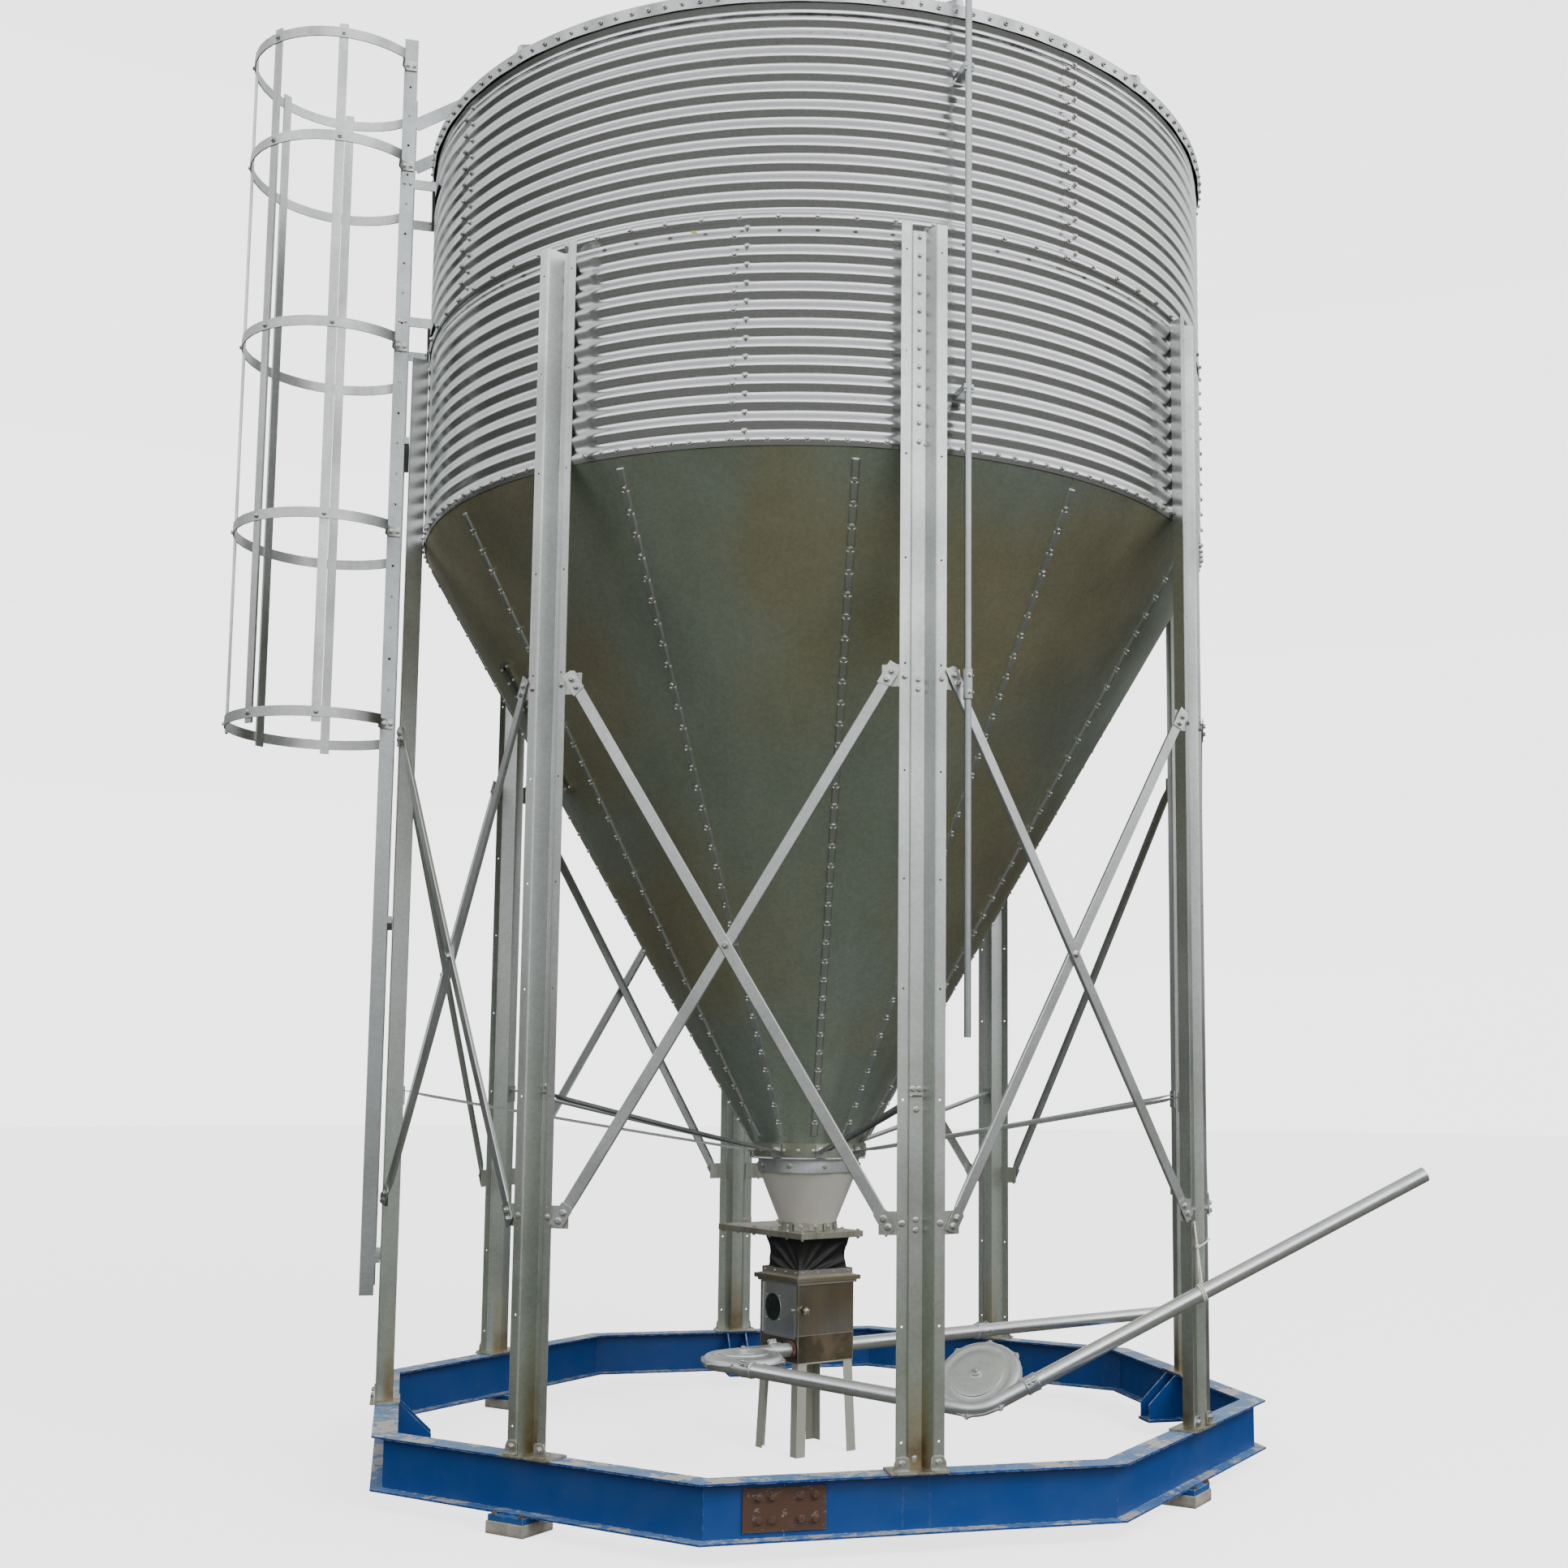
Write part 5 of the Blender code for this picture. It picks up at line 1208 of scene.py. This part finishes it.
def wheel_housing(shape, bolts, axis_x, axis_y, centre, first_ear):
    """Two dished castings with a bent tube's bulge round them and a bolted, eared rim."""
    normal = axis_x.cross(axis_y).normalized()
    axes = Matrix.Translation(centre) @ Matrix((axis_x, axis_y, normal)).transposed().to_4x4()
    disc = [(0.080, 0.0375), (0.104, 0.0375), (0.109, 0.0362), (0.1105, 0.0310), (0.116, 0.0290),
            (0.122, 0.0288)]
    bulge = [(WHEEL_TUBE_R + 0.030 * cos(radians(a)), 0.0305 * sin(radians(a)))
             for a in (116, 104, 90, 76, 62, 48, 34, 20, 8)]
    for side in (1.0, -1.0):
        shape.loft([[axes @ round_at(turn, r, side * z) for turn in turns(72)]
                    for r, z in disc + bulge + [(0.1752, 0.0003)]])
    rim = []
    for turn in turns(144):
        ear = max(0.0, cos(8 * (turn - first_ear))) ** 4
        far = 0.1790 + 0.0095 * ear + 0.0008 * cos(37 * turn)
        rim.append([axes @ round_at(turn, r, z)
                    for r, z in ((0.168, 0.0050), (far - 0.001, 0.0050), (far, 0.0036),
                                 (far, -0.0036), (far - 0.001, -0.0050), (0.168, -0.0050))])
    shape.loft(rim, loop=True)
    for turn in turns(8, first_ear):
        for side in (1.0, -1.0):
            bolts.bolt(axes @ round_at(turn, 0.1812, side * 0.0051), normal * side, 0.0064)
    shape.lathe(axes @ Vector((0.0, 0.0, 0.0375)), normal,
                [(0.0, 0.0270), (0.0035, 0.0270), (0.0050, 0.0200), (0.0110, 0.0170),
                 (0.0120, 0.0140)], 24)
    bolts.bolt(axes @ Vector((0.0, 0.0, 0.0495)), normal, 0.0110, 1.3)
    for x, y, long in ((0.0, -0.064, 0.034), (0.020, 0.060, 0.022)):
        shape.block(x - long, x + long, y - 0.004, y + 0.004, 0.0370, 0.0405, axes)


def feed_line():
    feed, bolts = Shape(), Shape()
    way = (feed_point(-2.0) - feed_point(-1.0)).normalized()
    face = 0.1523
    feed.lathe(feed_point(-face - GAP), way, [(0.0, 0.046), (0.010, 0.046), (0.012, 0.044)],
               TUBE_SIDES)
    open_tube(feed, feed_point(-face - 0.002), way, FEED_END - face - 0.002)
    feed.lathe(feed_point(-0.930), way, [(0.0, 0.0335), (0.003, 0.0368), (0.040, 0.0355),
                                         (0.077, 0.0368), (0.080, 0.0335)], TUBE_SIDES)
    for reach in (-0.945, -0.995):
        bolts.bolt(feed_point(reach) + Vector((0, 0, 0.0365)), UP, 0.0062)
        bolts.bolt(feed_point(reach) + at(BOX_TURN, 0.0365), at(BOX_TURN, 1.0), 0.0062)
    for k in range(4):
        turn = radians(45 + 90 * k)
        spot = feed_point(-face - 0.012) + at(BOX_TURN, 0.039 * cos(turn))
        bolts.bolt(spot + Vector((0, 0, 0.039 * sin(turn))), way, 0.0052)
    emit(feed, "feed_line", "tube", "tube_metal", ["feed_tube"])
    emit(bolts, "feed_bolts", "bolt", "tube_metal")


def conveyor():
    """Feed line, the two corner wheels and the tubes between and after them."""
    feed_line()
    slot = "wheel_casting"
    left, bolts = Shape(), Shape()
    wheel_at = at(BOX_TURN, FEED_ASIDE + WHEEL_TUBE_R) + at(DOOR_TURN, WHEEL_ASIDE)
    wheel_at.z = FEED_Z
    link_start = tangent_from(wheel_at, BEND_POINT, WHEEL_TUBE_R)
    link_way = (BEND_POINT - link_start).normalized()
    wheel_housing(left, bolts, Vector((1, 0, 0)), Vector((0, 1, 0)), wheel_at, 0.35)
    pipe(left, feed_point(WHEEL_ASIDE), -TO_DOOR, 0.340)
    pipe(left, link_start, link_way, LINK_STUB)
    clamp(left, bolts, feed_point(0.240), TO_DOOR, 0.028, 0.6)
    clamp(left, bolts, link_start + link_way * 0.118, link_way, 0.026, 0.9)
    rusty = Shape().lathe(feed_point(0.1655), -TO_DOOR, [(0.0, 0.036), (0.004, 0.041),
                                                         (0.009, 0.042), (0.0128, 0.042)], 20)
    emit(left, "wheel_left", "cast", slot, ["corner_wheel_left"], smooth=40)
    emit(rusty, "box_clamp", "rust", slot)
    emit(bolts, "wheel_left_bolts", "bolt", slot)

    front_way = Vector((cos(radians(-8.0)), sin(radians(-8.0)), 0.5)).normalized()
    setback = WHEEL_TUBE_R * tan(link_way.angle(front_way) / 2)
    bend_in = BEND_POINT - link_way * setback
    bend_out = BEND_POINT + front_way * setback
    inward = link_way.cross(front_way).normalized().cross(link_way)
    front, bolts = Shape(), Shape()
    wheel_housing(front, bolts, link_way, inward, bend_in + inward * WHEEL_TUBE_R, 0.10)
    for start, way in ((bend_in, -link_way), (bend_out, front_way)):
        pipe(front, start, way, 0.196)
        clamp(front, bolts, start + way * 0.170, way, 0.029, 1.1)
    emit(front, "wheel_front", "cast", slot, ["corner_wheel_front"], smooth=40)
    emit(bolts, "wheel_front_bolts", "bolt", slot)

    link = Shape()
    link_from = link_start + link_way * (LINK_STUB + GAP)
    reach = (bend_in - link_way * (FRONT_STUB + GAP)) - link_from
    pipe(link, link_from, link_way, reach.length, 8)
    emit(link, "link_line", "tube", "tube_metal", ["link_tube"])
    tube = Shape()
    front_start = bend_out + front_way * (FRONT_STUB + GAP)
    open_tube(tube, front_start, front_way, FRONT_LONG)
    emit(tube, "front_line", "tube", "tube_metal", ["front_tube"])
    return front_start, front_way


def ropy(shape, points, radius=0.0042):
    """A strand with a slight twist along it, through points."""
    points = [Vector(p) for p in points]
    path = []
    for a, b in zip(points, points[1:]):
        steps = max(2, round((b - a).length / 0.006))
        path += [a.lerp(b, k / steps) for k in range(steps)]
    path.append(points[-1])
    shape.tube(path, [radius * (1.0 + 0.10 * sin(1.9 * k)) for k in range(len(path))], 8)


def curved(points):
    """Points along a smooth curve through the given ones."""
    ends = [points[0] * 2 - points[1]] + points + [points[-1] * 2 - points[-2]]
    path = []
    for p0, p1, p2, p3 in zip(ends, ends[1:], ends[2:], ends[3:]):
        for t in [k / 6 for k in range(6)]:
            path.append(0.5 * (2 * p1 + (p2 - p0) * t + (2 * p0 - 5 * p1 + 4 * p2 - p3) * t * t
                               + (3 * p1 - p0 - 3 * p2 + p3) * t ** 3))
    return path + [points[-1]]


def twine(front_start, front_way):
    """Taut strand from a leg's lip to the tube, with its knot, side strand, loop and tail."""
    side = Vector((cos(radians(45)), sin(radians(45)), 0.0))
    out = at(45.0, 1.0)
    lip = LIP_R + 0.0033
    top = at(45.0, lip, 1.110) - side * 0.075
    centre = front_start + front_way * ((top.x - front_start.x) / front_way.x)
    low = centre + Vector((0, 0, TUBE_R / front_way.to_2d().length + 0.0015))
    knot = top.lerp(low, 0.42)
    strand = Shape()
    ropy(strand, [top + Vector((0, 0, 0.002)), knot, low])
    axes = aimed(centre, front_way)
    for shift in (-0.006, 0.004):
        ropy(strand, [axes @ round_at(a, 0.0338, shift + 0.003 * sin(a))
                      for a in [2 * pi * k / 28 for k in range(29)]])
    for shift in (0.0, 0.006):
        ropy(strand, [knot + round_at(a, 0.0052, shift + 0.001 * a / pi)
                      for a in [2 * pi * k / 12 for k in range(13)]])
    edge = at(45.0, lip, 1.030) + side * 0.094
    ropy(strand, curved([knot, knot.lerp(edge, 0.5) + at(45.0, 0.006), edge,
                         at(45.0, LIP_R - 0.004, 1.024) + side * 0.0955]))
    tail = [knot + side * x + out * y + Vector((0, 0, z))
            for x, y, z in ((0.0, 0.0, 0.0), (-0.014, 0.006, -0.030), (-0.018, 0.010, -0.090),
                            (-0.004, 0.012, -0.165), (0.012, 0.010, -0.215))]
    ropy(strand, curved(tail), 0.0028)
    emit(strand, "tie_twine", "twine", "twine_fibre", ["twine"], smooth=80)


# Ladder, cage and rod

# Bolts of the ladder's stiles, the cage's middle and hoops, and the rod on the wall
STILE_X = -1.940
CAGE_X = -2.243
CAGE_R = 0.4062
HOOPS = (6.260, 5.780, 4.930, 4.075, 3.210)
ROD_TURN = 5.1
ROD_R = 1.925


def ladder():
    steel = shape_of_mesh(from_node("ladder"), AXIS)
    holes = [Shape().tube([(-1.955, -0.215, z), (-1.955, -0.185, z)], 0.0060)
             for z in (3.36 + 0.140 * k for k in range(21))]
    emit(carved(steel, holes), "ladder_frame", "ladder", "ladder_steel", ["ladder"], smooth=30)
    ends = Shape()
    for z in (0.900, 2.350, 4.500):
        ends.grid_of_bolts((-1.9265,), (-0.160, -0.075, 0.075, 0.160), (z,), (-1, 0, 0), 0.007)
    for z in (5.050, 5.700):
        for side in (-1, 1):
            ends.grid_of_bolts((STILE_X, STILE_X - 0.025), (side * 0.2032,), (z,), (0, side, 0),
                               0.007)
            ends.bolt((-1.8448, side * 0.165, z), (-1, 0, 0), 0.007)
    emit(ends, "ladder_bolts", "bolt", "ladder_steel")


def cage():
    kept("ladder_cage", "cage_hoops", "cage", "cage_steel", smooth=30)
    bolts = Shape()
    for z in HOOPS:
        for angle in (90.0, 135.0, 180.0, 225.0, 270.0):
            way = round_at(radians(angle), 1.0)
            bolts.bolt(Vector((CAGE_X, 0.0, z)) + way * CAGE_R, way, 0.0085)
        for side in (-1, 1):
            bolts.grid_of_bolts((STILE_X, STILE_X - 0.026), (side * 0.2095,), (z,), (0, side, 0),
                                0.008)
    emit(bolts, "cage_bolts", "bolt", "cage_steel")


def lid_rod():
    elbow = at(ROD_TURN, ROD_R, EAVE_Z + 0.090)
    near_lid = at(ROD_TURN, 0.2848, 6.757)
    before = elbow - Vector((0, 0, 0.060))
    after = elbow + (near_lid - elbow).normalized() * 0.060
    path = [at(ROD_TURN, ROD_R, 1.830 + 0.35 * k) for k in range(12)]
    path += [soft_corner(before, elbow, after, k / 8) for k in range(9)]
    rod = Shape().tube(path + [near_lid], 0.0133, 18)
    rod.lathe(at(ROD_TURN, ROD_R, 3.090), UP,
              [(0.0, 0.0140), (0.003, 0.0178), (0.117, 0.0178), (0.120, 0.0140)], 20)
    bolts = Shape()
    aside = ROD_TURN + 90.0
    for z in (3.118, 3.182):
        bolts.wall_bolt(ROD_TURN, ROD_R + 0.0175, z, 0.0068)
        bolts.bolt(at(ROD_TURN, ROD_R, z) + at(aside, 0.0175), at(aside, 1.0), 0.0060)
    place = turn_z(ROD_TURN)
    for z in (4.300, 5.600):
        rod.block(-0.020, 0.020, -1.9330, -1.8299, z - 0.015, z + 0.015, place)
        for side in (-0.015, 0.015):
            bolts.bolt(place @ Vector((side, -1.9332, z)), at(ROD_TURN, 1.0), 0.005)
    emit(rod, "lid_rod_bar", "ladder", "rod_steel", ["lid_rod"])
    emit(bolts, "lid_rod_bolts", "bolt", "rod_steel")


# The order of these calls sets the order of the random draws
walls()
roof()
hopper()
legs()
braces()
base_ring()
collar()
reducer()
gate()
boot()
intake_box()
door()
kept("box_stand", "stand_legs", "stand", "stand_paint", bevel=0.0008)
twine(*conveyor())
ladder()
cage()
lid_rod()


# Camera, floor and light

def camera():
    """Camera as fitted to the photo: place, aim, roll, focal length and shift."""
    eye = Vector((-1.8076, -8.2208, 1.6684)) + AXIS
    forward = Vector((0.24524, 0.96337, 0.10849)).normalized()
    right = forward.cross((0, 0, 1)).normalized()
    up = right.cross(forward)
    roll = 0.0071
    x_axis = right * cos(roll) + up * sin(roll)
    y_axis = up * cos(roll) - right * sin(roll)
    data = bpy.data.cameras.new("camera")
    data.sensor_width = 36.0
    data.lens = 36.0 * 2208.29 / 1932.0
    data.shift_x = -0.0547
    data.shift_y = 0.0647
    data.clip_end = 500.0
    obj = bpy.data.objects.new("camera", data)
    obj.matrix_world = (Matrix.Translation(eye)
                        @ Matrix((x_axis, y_axis, -forward)).transposed().to_4x4())
    bpy.context.scene.collection.objects.link(obj)
    bpy.context.scene.camera = obj


def key_light():
    """Large soft lamp high on the right in front."""
    data = bpy.data.lights.new("key", "AREA")
    data.energy = 700.0
    data.shape = "DISK"
    data.size = 5.0
    obj = bpy.data.objects.new("key", data)
    obj.location = (5.5, -9.0, 9.0)
    way = Vector((0, 0, 2.5)) - obj.location
    obj.rotation_euler = way.to_track_quat("-Z", "Y").to_euler()
    obj.visible_glossy = False
    bpy.context.scene.collection.objects.link(obj)


def world_light():
    """Overcast sky over a dark ground, brightest at the front, with trees low on the left."""
    world = bpy.data.worlds.new("studio")
    bpy.context.scene.world = world
    world.use_nodes = True
    net = Nodes(world.node_tree)
    coords = net.node("TexCoord").outputs["Generated"]
    split = net.node("SeparateXYZ", Vector=coords).outputs
    sky = net.ramp(split["Z"], -1.0, 1.0, (
        (0.0, (0.150, 0.160, 0.140)), (0.10, (0.125, 0.132, 0.112)),
        (0.19, (0.112, 0.116, 0.090)), (0.26, (0.122, 0.121, 0.120)),
        (0.36, (0.120, 0.119, 0.118)), (0.420, (0.092, 0.092, 0.086)),
        (0.470, (0.110, 0.114, 0.102)), (0.560, (0.165, 0.168, 0.158)),
        (0.582, (1.15, 1.17, 1.20)), (0.61, (1.62, 1.63, 1.65)), (0.73, (1.62, 1.63, 1.65)),
        (0.84, (1.00, 1.01, 1.04)), (0.91, (0.62, 0.63, 0.66)), (1.0, (0.50, 0.51, 0.54))))
    trees = net.ramp(split["Z"], 0.0, 0.50, (
        (0.0, (0.10, 0.12, 0.09)), (0.36, (0.13, 0.15, 0.12)), (0.58, (0.62, 0.63, 0.63)),
        (0.90, 1.0)))
    side = net.ramp(split["X"], -1.0, 1.0, ((0.0, 0.75), (0.28, 0.60), (0.46, 0.0)))
    above = net.ramp(split["Z"], -0.02, 0.02, ((0.0, 0.0), (1.0, 1.0)))
    depth = net.ramp(split["Y"], -1.0, 1.0, (
        (0.0, 1.0), (0.25, 0.90), (0.43, 0.80), (0.55, 0.56), (0.66, 0.45), (0.85, 0.42)))
    wooded = net.mix(net.tinted(side, above), sky, net.tinted(sky, trees))
    background = net.tree.nodes["Background"]
    net.feed(background.inputs["Color"], net.tinted(wooded, depth))
    net.feed(background.inputs["Strength"], 1.52)


def backdrop_piece(name, mesh, level, strength):
    """Plain emission that only the camera sees."""
    colour = (level, level, level)
    mesh.materials.append(Look(name + "_pale", colour, 1.0, Specular_IOR_Level=0.0,
                               Emission_Color=colour, Emission_Strength=strength).material)
    obj = bpy.data.objects.new(name, mesh)
    bpy.context.scene.collection.objects.link(obj)
    obj.visible_glossy = False
    obj.visible_diffuse = False
    obj.visible_transmission = False
    return obj


def studio():
    world_light()
    reach = 60.0
    ground = bpy.data.meshes.new("floor")
    ground.from_pydata([(-reach, -reach, 0), (reach, -reach, 0), (reach, reach, 0),
                        (-reach, reach, 0)], [], [(0, 1, 2, 3)])
    shell = bpy.data.meshes.new("backdrop")
    bm = bmesh.new()
    bmesh.ops.create_uvsphere(bm, u_segments=64, v_segments=32, radius=reach * 0.95)
    bmesh.ops.reverse_faces(bm, faces=bm.faces)
    bm.to_mesh(shell)
    bm.free()
    backdrop_piece("floor", ground, 0.92, 2.25)
    backdrop_piece("backdrop", shell, 1.0, 2.6).visible_shadow = False
    key_light()


camera()
studio()
